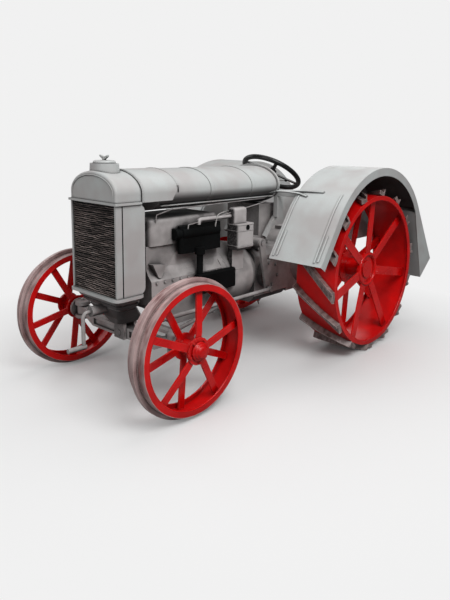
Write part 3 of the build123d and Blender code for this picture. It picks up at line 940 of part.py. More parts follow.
# Support's ledges and bowl from the top down: z above and below, then half width, front and rear
# from the front axle at the top and at the bottom
support_rows = [
    (SUPPORT_TOP_Z, ledge_z - 22, (206, -202, -26), (196, -192, -28)),
    (ledge_z - 22, ledge_z - 38, (176, -172, -34), (176, -172, -34)),
    (ledge_z - 38, ledge_z - 60, (186, -178, -26), (170, -164, -26)),
    (ledge_z - 60, ledge_z - 78, (148, -146, -26), (148, -146, -26)),
    (ledge_z - 78, BEAM_HIGH + BOWL_UP, (158, -150, -14), (92, -104, 60)),
    (BEAM_HIGH + BOWL_UP, BEAM_HIGH + BOWL_FOOT_UP, (92, -104, 60), (62, -84, 74)),
]
ARM_HALF, CHEEK_HALF, CHEEK_T, CHEEK_LOW, BEARING_R, BEARING_AHEAD, BEARING_L = 90, 46, 20, 36, 30, 238, 108
with BuildPart() as front_support:
    for z_up, z_down, above, below in support_rows:
        rounded = []
        for z, (half, front, rear) in ((z_up, above), (z_down, below)):
            with BuildSketch(top_view(z)) as ring:
                with Locations((0, Y_FRONT + (front + rear) / 2)):
                    RectangleRounded(2 * half, rear - front, SUPPORT_ROUND)
            rounded.append(ring.sketch)
        loft(rounded, ruled=True)
    # arm back to the engine
    slab((-ARM_HALF, ARM_HALF), (Y_FRONT - 60, Y_BLOCK - SEAT), (PAN_FRONT_Z + 50, SUPPORT_TOP_Z))
    # cheeks and pin of the axle's pivot
    for face in (-1, 1):
        y = sorted((Y_FRONT + face * (BEAM_D / 2 + SEAT), Y_FRONT + face * (BEAM_D / 2 + CHEEK_T)))
        slab((-CHEEK_HALF, CHEEK_HALF), y, (PIVOT_Z - CHEEK_LOW, support_rows[-1][1] + 10))
    pin_reach = BEAM_D / 2 + CHEEK_T + 6
    rod((0, Y_FRONT - pin_reach, PIVOT_Z), (0, Y_FRONT + pin_reach, PIVOT_Z), PIVOT_R)
    # crank's bearing
    rod((0, Y_FRONT - BEARING_AHEAD, CRANK_Z), (0, Y_FRONT - 60, CRANK_Z), BEARING_R)
    rod((0, Y_FRONT - BEARING_AHEAD, CRANK_Z), (0, Y_FRONT - BEARING_AHEAD + BEARING_L, CRANK_Z),
        CRANK_R + FIT, mode=Mode.SUBTRACT)
save(front_support, "front_support")

y_tip = Y_FRONT - CRANK_REACH
y_arm = y_tip + GRIP_L
CRANK_BEND_R = 34
with BuildPart() as starting_crank:
    with BuildLine():
        FilletPolyline((0, Y_FRONT - BEARING_AHEAD + BEARING_L - SIDE_PLAY, CRANK_Z), (0, y_arm, CRANK_Z),
                       (0, y_arm, CRANK_Z - CRANK_ARM), radius=CRANK_BEND_R)
    with BuildSketch(front_view(Y_FRONT - BEARING_AHEAD + BEARING_L - SIDE_PLAY)):
        with Locations((0, CRANK_Z)):
            Circle(CRANK_R)
    sweep()
    rod((0, y_arm + GRIP_R, CRANK_Z - CRANK_ARM), (0, y_tip, CRANK_Z - CRANK_ARM), GRIP_R)
save(starting_crank, "starting_crank")

# Radius rods from the beam's ends back to the flywheel housing
ROD_R, ROD_X, ROD_Z, ROD_BACK_X = 12, 345, 388, 158
with BuildPart() as radius_rods:
    for side in (-1, 1):
        rod((side * ROD_X, Y_FRONT + BEAM_D / 2 - 10, ROD_Z), (side * ROD_BACK_X, Y_BELL - 6, ROD_Z), ROD_R)
    # ends are cut square against the beam and the flywheel housing
    for low, high in ((Y_FRONT, Y_FRONT + BEAM_D / 2 + SEAT), (Y_BELL - SEAT, Y_BELL + 4 * ROD_R)):
        slab((-2 * ROD_X, 2 * ROD_X), (low, high), (ROD_Z - 2 * ROD_R, ROD_Z + 2 * ROD_R), mode=Mode.SUBTRACT)
save(radius_rods, "radius_rods")
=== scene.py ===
# %% [markdown]
# # Dressing a steel-wheeled farm tractor
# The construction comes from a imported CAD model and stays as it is: every wheel, rod and plate
# has its place already. This lesson gives each surface its finish and adds what a CAD model
# leaves out: bolts and rivets, rolled beads in the sheet steel, the fins of the radiator, the
# small fittings of the engine, and the slots of the seat.

# %% Load the frame
import math
import bpy
from mathutils import Matrix, Vector


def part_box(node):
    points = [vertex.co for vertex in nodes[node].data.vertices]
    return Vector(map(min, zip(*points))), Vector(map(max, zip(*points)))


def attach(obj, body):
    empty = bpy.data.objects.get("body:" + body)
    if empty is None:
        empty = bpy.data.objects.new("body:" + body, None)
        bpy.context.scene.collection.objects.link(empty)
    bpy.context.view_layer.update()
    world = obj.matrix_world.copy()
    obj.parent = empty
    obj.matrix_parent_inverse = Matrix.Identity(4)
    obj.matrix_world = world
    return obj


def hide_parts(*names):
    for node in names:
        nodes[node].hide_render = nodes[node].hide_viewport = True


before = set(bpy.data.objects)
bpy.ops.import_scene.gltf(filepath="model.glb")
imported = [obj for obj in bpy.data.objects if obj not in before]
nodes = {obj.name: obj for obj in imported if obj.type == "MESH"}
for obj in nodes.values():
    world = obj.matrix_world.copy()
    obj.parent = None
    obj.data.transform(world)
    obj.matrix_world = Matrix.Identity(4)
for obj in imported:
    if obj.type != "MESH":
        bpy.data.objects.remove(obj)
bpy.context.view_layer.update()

# %% [markdown]
# ## First helpers
# Lengths are easiest to read in millimetres, while Blender works in metres. Colours are sRGB
# hex, as on a paint chart, and shaders want linear values. One function adds a node of any kind
# with its settings and inputs, so that a node tree reads from top to bottom.

# %% Units, colours, nodes and objects
MM = 0.001


def colour(code):
    """Linear RGBA of an sRGB hex colour."""
    channels = [int(code[i:i + 2], 16) / 255 for i in (0, 2, 4)]
    linear = [c / 12.92 if c <= 0.04045 else ((c + 0.055) / 1.055) ** 2.4 for c in channels]
    return (*linear, 1.0)


def tuned(thing, **settings):
    """Sets a thing's properties and gives it back."""
    for name, value in settings.items():
        setattr(thing, name, value)
    return thing


def feed(tree, node, inputs):
    """Fills sockets, given by name or index, with values or with other nodes' outputs."""
    for name, value in inputs.items():
        if isinstance(value, bpy.types.NodeSocket):
            tree.links.new(value, node.inputs[name])
        else:
            node.inputs[name].default_value = value
    return node


def add(tree, kind, inputs=(), **settings):
    """Adds a node with its settings and its inputs."""
    return feed(tree, tuned(tree.nodes.new(kind), **settings), dict(inputs))


def mesh_from(name, verts, faces):
    """A new mesh from points in metres."""
    mesh = bpy.data.meshes.new(name)
    mesh.from_pydata(verts, [], faces)
    return mesh


def shown(name, data):
    """A new object in the scene, from a mesh, a curve, a lamp or a camera."""
    made = bpy.data.objects.new(name, data)
    bpy.context.scene.collection.objects.link(made)
    return made


print("enamel grey, linear:", [round(c, 3) for c in colour("B9B6B4")])

# %% [markdown]
# ## Camera
# The tractor is seen from its front left corner, from a little above the wheels, with a long
# enough lens that the far wheels stay nearly as large as the near ones. The camera's place is
# in the tractor's own frame, and its turn is built from azimuth, elevation and a slight roll.

# %% Place the camera
AZIMUTH, ELEVATION, ROLL = math.radians(41.01), math.radians(9.5), math.radians(1.17)
CAMERA_PLACE = Vector((2.6717, -3.0052, 1.4748))
camera = shown("camera", tuned(bpy.data.cameras.new("camera"), lens=33.96, shift_x=-0.0409,
                               shift_y=-0.1081, clip_end=60))
aimed = Matrix.Rotation(AZIMUTH, 4, "Z") @ Matrix.Rotation(math.pi / 2 - ELEVATION, 4, "X")
camera.matrix_world = Matrix.Translation(CAMERA_PLACE) @ aimed @ Matrix.Rotation(ROLL, 4, "Z")
bpy.context.scene.camera = camera
print("camera at", [round(v, 2) for v in camera.location])

# %% [markdown]
# ## Node shorthands
# Most steps of a material are the same few, and each gets a short name. Two of them measure
# the shape itself: how open a point lies to its surroundings, and how near a sharp edge is.


# %% Short names for common nodes
def ranged(tree, value, low, high, at_low, at_high):
    """Map Range: value between low and high becomes at_low to at_high."""
    made = add(tree, "ShaderNodeMapRange", {"Value": value, "From Min": low, "From Max": high,
                                            "To Min": at_low, "To Max": at_high})
    return made.outputs[0]


def blended(tree, share, first, second):
    """Colour mix from first to second."""
    made = add(tree, "ShaderNodeMix", {"Factor": share, 6: first, 7: second}, data_type="RGBA")
    return made.outputs[2]


def noise(tree, place, size_mm, detail=3.0):
    """Noise whose features are about size_mm across."""
    made = add(tree, "ShaderNodeTexNoise",
               {"Vector": place, "Scale": 1 / (size_mm * MM), "Detail": detail})
    return made.outputs["Fac"]


def maths(tree, operation, *values):
    """Math node on numbers and on other nodes' outputs."""
    return add(tree, "ShaderNodeMath", dict(enumerate(values)), operation=operation).outputs[0]


def vector_maths(tree, operation, *values):
    """Vector Math node. Returns its outputs, Vector and Value."""
    return add(tree, "ShaderNodeVectorMath", dict(enumerate(values)), operation=operation).outputs


def openness(tree, reach_mm):
    """1 where nothing is nearer than reach_mm, and less in seams and hollows."""
    made = add(tree, "ShaderNodeAmbientOcclusion", {"Distance": reach_mm * MM}, samples=8)
    return made.outputs["AO"]


def flatness(tree, radius_mm):
    """1 on a flat face, and less where rounding the edges by radius_mm would turn it."""
    facing = add(tree, "ShaderNodeNewGeometry").outputs["Normal"]
    rounded = add(tree, "ShaderNodeBevel", {"Radius": radius_mm * MM}, samples=6).outputs[0]
    return vector_maths(tree, "DOT_PRODUCT", rounded, facing)["Value"]


def node_material(name):
    """A new material with its tree and its Principled shader."""
    made = bpy.data.materials.new(name)
    made.use_nodes = True
    return made, made.node_tree, made.node_tree.nodes["Principled BSDF"]


def object_place(tree):
    """A point's place in the object's own frame, so that a finish travels with its piece."""
    return add(tree, "ShaderNodeTexCoord").outputs["Object"]


print("materials before the first finish:", len(bpy.data.materials))

# %% [markdown]
# ## Floor
# A plain pale floor shows the shape without stealing from it. It sends little light back up,
# so the undersides stay dark, and away from the tractor it melts into the surround, so that no
# horizon shows. Both tricks ask whether the camera sees the ray, or whether it is light on its
# way to something else.

# %% Build the floor
FLOOR_HALF, FLOOR_DROP = 14.0, 0.0005
FADE_FROM, FADE_TO = 0.9, 2.5
BACKGROUND, FLOOR_SEEN, FLOOR_SENT = "F1F1F1", "F4F4F4", "8E8E8E"

corners = [(x * FLOOR_HALF, y * FLOOR_HALF, 0) for x, y in ((-1, -1), (1, -1), (1, 1), (-1, 1))]
floor = shown("floor", mesh_from("floor", corners, [(0, 1, 2, 3)]))
floor.location.z = -FLOOR_DROP

floor_paint, tree, shader = node_material("studio_floor")
seen = add(tree, "ShaderNodeLightPath").outputs["Is Camera Ray"]
shade = blended(tree, seen, colour(FLOOR_SENT), colour(FLOOR_SEEN))
feed(tree, shader, {"Base Color": shade, "Roughness": 0.9})
distance = vector_maths(tree, "LENGTH", object_place(tree))["Value"]
away = maths(tree, "MULTIPLY", ranged(tree, distance, FADE_FROM, FADE_TO, 0.0, 1.0), seen)
pale = add(tree, "ShaderNodeEmission", {"Color": colour(BACKGROUND)})
mixed = add(tree, "ShaderNodeMixShader", {0: away, 1: shader.outputs[0], 2: pale.outputs[0]})
feed(tree, tree.nodes["Material Output"], {"Surface": mixed.outputs[0]})
floor.data.materials.append(floor_paint)
print("floor:", 2 * FLOOR_HALF, "m square, fades from", FADE_FROM, "to", FADE_TO, "m")

# %% [markdown]
# ## Lamps
# Five large soft lamps do the work. The strongest is high on the tractor's left, so that the
# tops of the hood and fenders are the lightest surfaces, the sides come next, and the
# undersides stay dark. The others open up the front, the far side and the back.

# %% Hang the lamps
# name, place, aim, side length in metres, watts
LAMPS = [
    ("key", (3.6, -1.6, 4.6), (0.0, -0.2, 0.7), 2.8, 185),
    ("front", (0.2, -5.6, 2.8), (0.0, -0.6, 0.6), 2.6, 52),
    ("right_fill", (-4.6, -1.2, 2.8), (0.0, -0.2, 0.7), 3.0, 42),
    ("back", (-1.6, 5.2, 2.6), (0.0, 0.6, 0.6), 2.6, 40),
    ("top", (0.0, 0.6, 5.0), (0.0, 0.0, 0.6), 4.0, 72),
]
for name, place, aim, side, watts in LAMPS:
    lamp = shown(name, tuned(bpy.data.lights.new(name, "AREA"), size=side, energy=watts))
    lamp.location = place
    lamp.rotation_euler = (Vector(aim) - Vector(place)).to_track_quat("-Z", "Y").to_euler()
print("lamps:", len(LAMPS), "watts:", sum(lamp[-1] for lamp in LAMPS))

# %% [markdown]
# ## Surround
# The white of the surround is for the camera alone. The paint gets only a dim light from it,
# which keeps the shadows between the castings from going black.

# %% Build the surround
SURROUND_LIGHT = 0.13

world = bpy.data.worlds.new("surround")
bpy.context.scene.world = world
world.use_nodes = True
tree = world.node_tree
tree.nodes.clear()
rays = add(tree, "ShaderNodeLightPath").outputs
seen = maths(tree, "MAXIMUM", rays["Is Camera Ray"], rays["Is Transmission Ray"])
dim = add(tree, "ShaderNodeBackground", {"Color": colour("FFFFFF"), "Strength": SURROUND_LIGHT})
white = add(tree, "ShaderNodeBackground", {"Color": colour(BACKGROUND), "Strength": 1.0})
mixed = add(tree, "ShaderNodeMixShader", {0: seen, 1: dim.outputs[0], 2: white.outputs[0]})
add(tree, "ShaderNodeOutputWorld", {"Surface": mixed.outputs[0]})
bpy.context.scene.view_settings.view_transform = "Standard"
print("surround light:", SURROUND_LIGHT)

# %% [markdown]
# ## Enamel on iron and sheet steel
# The tractor was dipped and brushed in a thick grey enamel, which drifts in broad soft patches
# and is polished thin on sharp edges, where a lighter colour also paints a highlight. Soot and
# painted shade darken the seams; painted shade darkens the depths between the castings, their
# undersides and the faces that look forward; and oil stains are darker in the hollows, as painted
# shade. The greatest of these is a point's share of dirt and painted shade.


# %% Where dirt and painted shade settle, and where paint wears and gets a painted highlight
SHADE_REACH_MM = 170
STAIN_MM = 190


def dirt_and_shade_share(tree, place, mottle, grime_and_shade, underside_shade, seam_mm, front_shade, stain_and_shade):
    """Share of dirt and painted shade at a point, 0 to 1."""
    way = add(tree, "ShaderNodeSeparateXYZ",
              {0: add(tree, "ShaderNodeNewGeometry").outputs["Normal"]}).outputs
    deep = openness(tree, SHADE_REACH_MM)
    # dark seam lines: soot, and painted shade where the surface is closed in
    lines = ranged(tree, openness(tree, seam_mm), 0.56, 0.95, grime_and_shade, 0.0)
    # painted shade deep between the castings
    broad = ranged(tree, deep, 0.24, 0.8, grime_and_shade, 0.0)
    # painted shade on faces that look down
    under = ranged(tree, way["Z"], -0.6, -0.05, underside_shade, 0.0)
    # painted shade on faces that look forward
    front_shaded = maths(tree, "MULTIPLY", ranged(tree, way["Y"], -0.95, -0.6, front_shade, 0.0),
                  ranged(tree, mottle, 0.3, 0.55, 0.8, 1.0))
    # stains are broad, and darker in the depths, which is painted shade
    stains_and_shade = maths(tree, "MULTIPLY",
                  ranged(tree, noise(tree, place, STAIN_MM, 1.0), 0.53, 0.58, 0.0, stain_and_shade),
                  ranged(tree, deep, 0.45, 0.9, 1.0, 0.2))
    dirt_and_shade = lines
    for other in (broad, under, front_shaded, stains_and_shade):
        dirt_and_shade = maths(tree, "MAXIMUM", dirt_and_shade, other)
    return dirt_and_shade


def polished_and_highlit(tree, place, dirt_and_shade):
    """Share of paint polished thin, whose lighter colour is also a painted highlight: along sharp
    edges, in chips, and only where it is free of dirt and painted shade.
    """
    edge = maths(tree, "SUBTRACT", 1.0, flatness(tree, 2.6))
    edge = maths(tree, "MULTIPLY", edge, noise(tree, place, 18, 4.0))
    free_of_dirt_and_shade = maths(tree, "SUBTRACT", 1.0, dirt_and_shade)
    return maths(tree, "MULTIPLY", ranged(tree, edge, 0.03, 0.12, 0.0, 0.7), free_of_dirt_and_shade)


print("grime reaches", SHADE_REACH_MM, "mm into the hollows")

# %% [markdown]
# Under the paint a casting keeps the grain of its sand mould, and a rolled sheet is smoother.
# One function makes every painted finish from its four colours, its grain, its dirt and its
# painted shade.


# %% The painted finish
GLOSS_SPREAD, GRAIN_STRENGTH, MOTTLE_MM = 0.08, 0.35, 9


def enamel(name, colours, grain, roughness, patch_mm=210, grime_and_shade=0.85, underside_shade=0.88, seam_mm=13,
           stretch=(1.0, 1.0, 1.0), front_shade=0.0, stain_and_shade=0.0):
    """Brushed enamel. colours are pale, mid, dirty and shaded, and worn with a painted highlight;
    grain is (size, depth) in mm.
    """
    pale, mid, dark, worn_with_highlight = (colour(code) for code in colours)
    paint, tree, shader = node_material(name)
    place = object_place(tree)
    drawn = add(tree, "ShaderNodeMapping", {"Vector": place, "Scale": stretch}).outputs[0]
    drift = noise(tree, drawn, patch_mm, 2.0)
    mottle = noise(tree, place, MOTTLE_MM, 4.0)
    shade = blended(tree, ranged(tree, drift, 0.36, 0.62, 0.0, 1.0), mid, pale)
    shade = blended(tree, ranged(tree, mottle, 0.42, 0.66, 0.0, 0.22), shade, mid)
    dirt_and_shade = dirt_and_shade_share(tree, place, mottle, grime_and_shade, underside_shade, seam_mm, front_shade, stain_and_shade)
    shade = blended(tree, dirt_and_shade, shade, dark)
    shade = blended(tree, polished_and_highlit(tree, place, dirt_and_shade), shade, worn_with_highlight)
    gloss = ranged(tree, drift, 0.3, 0.7, roughness + GLOSS_SPREAD, roughness - GLOSS_SPREAD)
    size_mm, depth_mm = grain
    bump = add(tree, "ShaderNodeBump", {"Height": noise(tree, place, size_mm),
                                        "Strength": GRAIN_STRENGTH, "Distance": depth_mm * MM})
    feed(tree, shader, {"Base Color": shade, "Roughness": gloss, "Normal": bump.outputs[0]})
    return paint


# pale, mid, dirty and shaded, worn with a painted highlight
RED = ("F20D0D", "D60608", "5A0004", "FF8A80")
sheet_grey = enamel("grey_enamel_on_sheet", ("C9CDCC", "BDBAB9", "242223", "DEDEDC"), (5, 0.3), 0.5)
cast_grey = enamel("grey_enamel_on_casting", ("BDB8B7", "A09B9A", "1B191A", "D8D4D2"), (4, 1.0),
                   0.58, patch_mm=110, front_shade=0.6, stain_and_shade=0.85)
# the air washer's forward faces are painted in full shade
washer_grey = enamel("grey_enamel_with_painted_front_shade", ("C4BFBE", "B0ABAA", "1B191A", "D8D4D2"),
                     (4, 1.0), 0.58, patch_mm=110, front_shade=1.0)
forged_grey = enamel("grey_enamel_on_forging", ("B4B0AF", "979190", "232122", "D8D5D3"),
                     (4, 0.6), 0.5, patch_mm=80)
spoke_red = enamel("red_enamel_on_steel", RED, (6, 0.4), 0.24, patch_mm=150, underside_shade=0.22,
                   grime_and_shade=0.5)
print("materials so far:", len(bpy.data.materials))

# %% [markdown]
# ## Rims: paint inside, bare steel where they meet the ground
# A steel rim keeps its red paint on its sides and inside, and loses it on the tread, which
# turns a dull pinkish grey with streaks of soil. The material measures each point's distance
# from the axle, so that paint gives way to steel at the rim's own radius.


# %% The rim finish
def rim_paint(name, axle, bare_from, ground_steel, steel_shade, soil_mm):
    """Red enamel up to the radius bare_from around the axle line, worn steel beyond it."""
    paint = enamel(name, RED, (6, 0.4), 0.36, patch_mm=150, underside_shade=0.3, grime_and_shade=0.6)
    tree = paint.node_tree
    shader = tree.nodes["Principled BSDF"]
    red = shader.inputs["Base Color"].links[0].from_socket
    place = object_place(tree)
    centred = add(tree, "ShaderNodeMapping", {"Vector": place, "Scale": (0.0, 1.0, 1.0),
                                              "Location": (0.0, -axle[1], -axle[2])})
    radius = vector_maths(tree, "LENGTH", centred.outputs[0])["Value"]
    # noise moves the border by a few millimetres, so that it runs ragged
    ragged = maths(tree, "MULTIPLY_ADD", noise(tree, place, 34, 4.0), 5 * MM, radius)
    bare = ranged(tree, ragged, bare_from, bare_from + 3 * MM, 0.0, 1.0)
    # soil is drawn out along the way the wheel rolls, so the noise is squeezed across it
    drawn = add(tree, "ShaderNodeMapping", {"Vector": place, "Scale": (3.2, 1.0, 1.0)}).outputs[0]
    soil = ranged(tree, noise(tree, drawn, soil_mm, 4.0), 0.34, 0.62, 0.0, 1.0)
    steel = blended(tree, soil, colour(steel_shade), colour(ground_steel))
    # dark at the foot of ribs and lugs, as soil and painted shade; light on their edges, as
    # polished steel and painted highlight
    seams = ranged(tree, openness(tree, 16), 0.5, 0.92, 0.85, 0.0)
    edges = ranged(tree, flatness(tree, 4.5), 0.99, 0.9, 0.0, 0.85)
    for share, code in ((seams, "3A2E2D"), (edges, "E6CBC7")):
        steel = blended(tree, share, steel, colour(code))
    feed(tree, shader, {"Base Color": blended(tree, bare, red, steel)})
    return paint


def wheel_centre(node):
    """Centre of a rim and its outer radius, in metres."""
    low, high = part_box(node)
    return [(a + b) / 2 for a, b in zip(low, high)], (high[2] - low[2]) / 2


rear_axle, rear_reach = wheel_centre("rear_rim_left")
front_axle, front_reach = wheel_centre("front_rim_left")
# paint reaches a little up the lugs, and stops just under the tread of the front rim
LUG_H, UP_THE_LUG, RIB_H, UNDER_TREAD = 45 * MM, 4 * MM, 25 * MM, 1 * MM
rear_rim = rim_paint("red_rim_with_steel_lugs", rear_axle, rear_reach - LUG_H + UP_THE_LUG,
                     "9F8D8A", "6E5D5B", 60)
front_rim = rim_paint("red_rim_with_steel_tread", front_axle, front_reach - RIB_H - UNDER_TREAD,
                      "CDB4B2", "84605F", 150)
print("wheel radii, m:", round(front_reach, 3), round(rear_reach, 3))

# %% [markdown]
# ## Black iron, black enamel and radiator fins
# The exhaust manifold is bare casting that the heat keeps a dead, sooty black. The steering
# wheel is glossy black. The radiator's fins are thin painted tin, dark and dull, brushed grey
# where dust sits on their edges.

# %% The dark finishes
soot_iron = enamel("sooted_cast_iron", ("0D0F10", "070808", "020202", "1E1F20"), (4, 1.0), 0.78,
                   grime_and_shade=0.8)
wheel_black = enamel("black_enamel", ("101010", "080808", "020202", "343232"), (9, 0.2), 0.3,
                     grime_and_shade=0.4)
fin_tin = enamel("radiator_fin_tin", ("B8A7A1", "4A4240", "0E0D0D", "B8A9A3"), (3, 0.3), 0.55,
                 patch_mm=38, grime_and_shade=0.3, underside_shade=0.8, seam_mm=4, stretch=(0.3, 1.0, 1.6))
core_dark = enamel("radiator_depth", ("1D1B1C", "121112", "040404", "2A2727"), (4, 0.3), 0.8,
                   patch_mm=60)
bright_steel = enamel("plated_fittings", ("C6C3C0", "A7A3A1", "2A2829", "E6E4E2"), (3, 0.2),
                      0.36, patch_mm=40, underside_shade=0.3)
# soot gives back hardly any light, not even a sheen
soot_iron.node_tree.nodes["Principled BSDF"].inputs["Specular IOR Level"].default_value = 0.12
print("materials in all:", len(bpy.data.materials))

# %% [markdown]
# ## Give the CAD nodes their finish
# Each CAD node keeps its own mesh. Only its material slot changes.

# %% Assign materials
SIDES = ((1, "left"), (-1, "right"))
BOTH = [word for _, word in SIDES]
finishes = [
    (sheet_grey, ["radiator_shell", "radiator_cap", "hood", "fuel_tank", "tool_boxes",
                  "dash_panel", "ignition_box", "pan_seat", "fender_stays",
                  *("fender_" + word for word in BOTH)]),
    (cast_grey, ["engine_block", "cylinder_head", "engine_pan", "flywheel_housing",
                 "transmission_housing", "rear_axle_housing", "front_support", "steering_gear",
                 "pulley_cover", "fender_brackets", "seat_spring", "drawbar"]),
    (washer_grey, ["air_washer"]),
    (forged_grey, ["front_axle", "tie_rod", "drag_link", "pitman_arm", "radius_rods",
                   "starting_crank", "levers", "fan", *("knuckle_" + word for word in BOTH)]),
    (spoke_red, [end + "_spokes_" + word for end in ("front", "rear") for word in BOTH]),
    (rear_rim, ["rear_rim_" + word for word in BOTH]),
    (front_rim, ["front_rim_" + word for word in BOTH]),
    (soot_iron, ["manifold", "exhaust_pipe"]),
    (wheel_black, ["steering_wheel"]),
    (core_dark, ["radiator_core"]),
]
dressed = set()
for material, names in finishes:
    for name in names:
        nodes[name].data.materials.clear()
        nodes[name].data.materials.append(material)
        dressed.add(name)
print("nodes dressed:", len(dressed), "left:", sorted(set(nodes) - dressed))

# %% [markdown]
# ## Stations on the tractor
# The small pieces are placed from the CAD nodes' own boxes, so that each stays on what carries
# it. From here on places are in millimetres, x to the tractor's left, y to its back and z up.


# %% Read the nodes' boxes
def box_mm(node):
    """Low and high corner of a CAD node, in mm."""
    low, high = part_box(node)
    return Vector(low) / MM, Vector(high) / MM


block_low, block_high = box_mm("engine_block")
head_high = box_mm("cylinder_head")[1]
bell_front = box_mm("flywheel_housing")[0].y
axle_y, axle_z = rear_axle[1] / MM, rear_axle[2] / MM
front_y, front_z = front_axle[1] / MM, front_axle[2] / MM
# the block's node starts with the fan's stub shaft, and the block itself lies behind it
FAN_SHAFT = 59
block_front, block_back = block_low.y + FAN_SHAFT, block_high.y
print("engine block from y", round(block_front), "to", round(block_back), "half width",
      round(block_high.x))

# %% [markdown]
# ## From points to pieces
# Every new piece ends as a plain mesh that rides on one body, with its finish.


def riding(name, mesh, material, body):
    """A piece of the scene from a finished mesh."""
    mesh.materials.clear()
    mesh.materials.append(material)
    piece = shown(name, mesh)
    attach(piece, body)
    return piece


def plain_mesh(name, verts, faces, material, body="chassis"):
    """A new piece from points in metres."""
    return riding(name, mesh_from(name, verts, faces), material, body)


def joined(shapes):
    """Several (verts, faces) as one."""
    verts, faces = [], []
    for more_verts, more_faces in shapes:
        base = len(verts)
        verts += more_verts
        faces += [tuple(base + n for n in face) for face in more_faces]
    return verts, faces


# %% [markdown]
# Heads, caps, plugs and knobs are turned shapes: a profile of radii and heights, carried round
# an axis. So a dozen round fittings need no more than a list of numbers each.


# %% Turned shapes
def lathe(profile, around, tip=None):
    """Closed shape turned on the z axis. profile is (radius, height), tip the height of a point."""
    verts = [(radius * math.cos(n * math.tau / around), radius * math.sin(n * math.tau / around), z)
             for radius, z in profile for n in range(around)]
    faces = [tuple(reversed(range(around)))]
    for base in range(0, (len(profile) - 1) * around, around):
        faces += [(base + n, base + (n + 1) % around, base + around + (n + 1) % around,
                   base + around + n) for n in range(around)]
    top = (len(profile) - 1) * around
    if tip is None:
        faces.append(tuple(range(top, top + around)))
    else:
        verts.append((0, 0, tip))
        faces += [(top + n, top + (n + 1) % around, top + around) for n in range(around)]
    return verts, faces


def around_axis(axis):
    """The axis as a unit vector, and two more across it."""
    axis = Vector(axis).normalized()
    side = axis.orthogonal().normalized()
    return axis, side, axis.cross(side)


def turned(name, pieces, material, body="chassis", around=20):
    """Turned pieces as one mesh. pieces are (foot, axis, profile) in mm."""
    shapes = []
    for foot, axis, profile in pieces:
        axis, side, up = around_axis(axis)
        verts, faces = lathe(profile, around)
        verts = [(Vector(foot) + x * side + y * up + z * axis) * MM for x, y, z in verts]
        shapes.append((verts, faces))
    piece = plain_mesh(name, *joined(shapes), material, body)
    for polygon in piece.data.polygons:
        polygon.use_smooth = len(polygon.vertices) == 4
    return piece


print("faces of a drum with 20 sides:", len(lathe([(1, 0), (1, 1)], 20)[1]))

# %% [markdown]
# ## Bolts and rivets by Geometry Nodes
# A tractor of this kind is held together by hundreds of hexagon bolts and round-headed rivets.
# Each is modelled once, and a node tree sets it on every point of a mesh.

# %% The two heads, 1 across
WASHER = [(0.82, -0.25), (0.82, 0.1), (0.76, 0.14)]
HEXAGON_R = 0.5 / math.cos(math.pi / 6)
HEXAGON = [(HEXAGON_R, 0.1), (HEXAGON_R, 0.58), (HEXAGON_R * 0.84, 0.68)]
RIVET, RIVET_TIP = [(0.5, -0.2), (0.5, 0.04), (0.42, 0.2), (0.24, 0.3)], 0.33


def pattern_object(name, verts, faces):
    """The unit shape that a tree repeats. It is never shown."""
    return bpy.data.objects.new(name, mesh_from(name, verts, faces))


bolt_shape = pattern_object("unit bolt", *joined([lathe(WASHER, 12), lathe(HEXAGON, 6)]))
rivet_shape = pattern_object("unit rivet", *lathe(RIVET, 10, RIVET_TIP))
print("fastener shapes:", len(bolt_shape.data.polygons), "and", len(rivet_shape.data.polygons),
      "faces")

# %% [markdown]
# The tree turns each copy to the way out that is stored with its point, and scales it to the
# stored width. Each also gets its own turn, as each was tightened to its own angle.


# %% The fastener tree
def repeating_tree(name, shape):
    """A tree that sets a shape on every point, the node that does it, and its real copies."""
    tree = bpy.data.node_groups.new(name, "GeometryNodeTree")
    for way in ("INPUT", "OUTPUT"):
        tree.interface.new_socket("Geometry", in_out=way, socket_type="NodeSocketGeometry")
    points = add(tree, "NodeGroupInput").outputs[0]
    one = add(tree, "GeometryNodeObjectInfo", {"Object": shape}).outputs["Geometry"]
    copies = add(tree, "GeometryNodeInstanceOnPoints", {"Points": points, "Instance": one})
    return tree, copies, add(tree, "GeometryNodeRealizeInstances", {0: copies.outputs[0]})


def fastener_tree(shape):
    """Points in, fasteners out, each turned to its point's "out" and scaled to its "width"."""
    tree, copies, solid = repeating_tree(shape.name + "s on points", shape)
    out, width = (add(tree, "GeometryNodeInputNamedAttribute", {"Name": key}, data_type=kind)
                  for key, kind in (("out", "FLOAT_VECTOR"), ("width", "FLOAT")))
    facing = add(tree, "FunctionNodeAlignRotationToVector", {"Vector": out.outputs[0]}, axis="Z")
    spin = add(tree, "FunctionNodeRandomValue", {2: 0.0, 3: math.tau, "Seed": 7},
               data_type="FLOAT").outputs[1]
    own = add(tree, "ShaderNodeCombineXYZ", {"Z": spin})
    spun = add(tree, "FunctionNodeRotateRotation", {0: facing.outputs[0], 1: own.outputs[0]},
               rotation_space="LOCAL")
    feed(tree, copies, {"Rotation": spun.outputs[0], "Scale": width.outputs[0]})
    add(tree, "NodeGroupOutput", {0: solid.outputs[0]})
    return tree


bolts, rivets = fastener_tree(bolt_shape), fastener_tree(rivet_shape)
print("nodes in a fastener tree:", len(bolts.nodes))

# %% [markdown]
# A tree works as a modifier on a carrier, an object whose mesh holds only the points. The
# result is copied out as a plain mesh, and the carrier goes.


# %% Run a tree and keep its result
def mesh_of(carrier, name):
    """The evaluated mesh of an object that was only needed to make it."""
    graph = bpy.context.evaluated_depsgraph_get()
    mesh = bpy.data.meshes.new_from_object(carrier.evaluated_get(graph))
    mesh.name = name
    bpy.data.objects.remove(carrier)
    return mesh


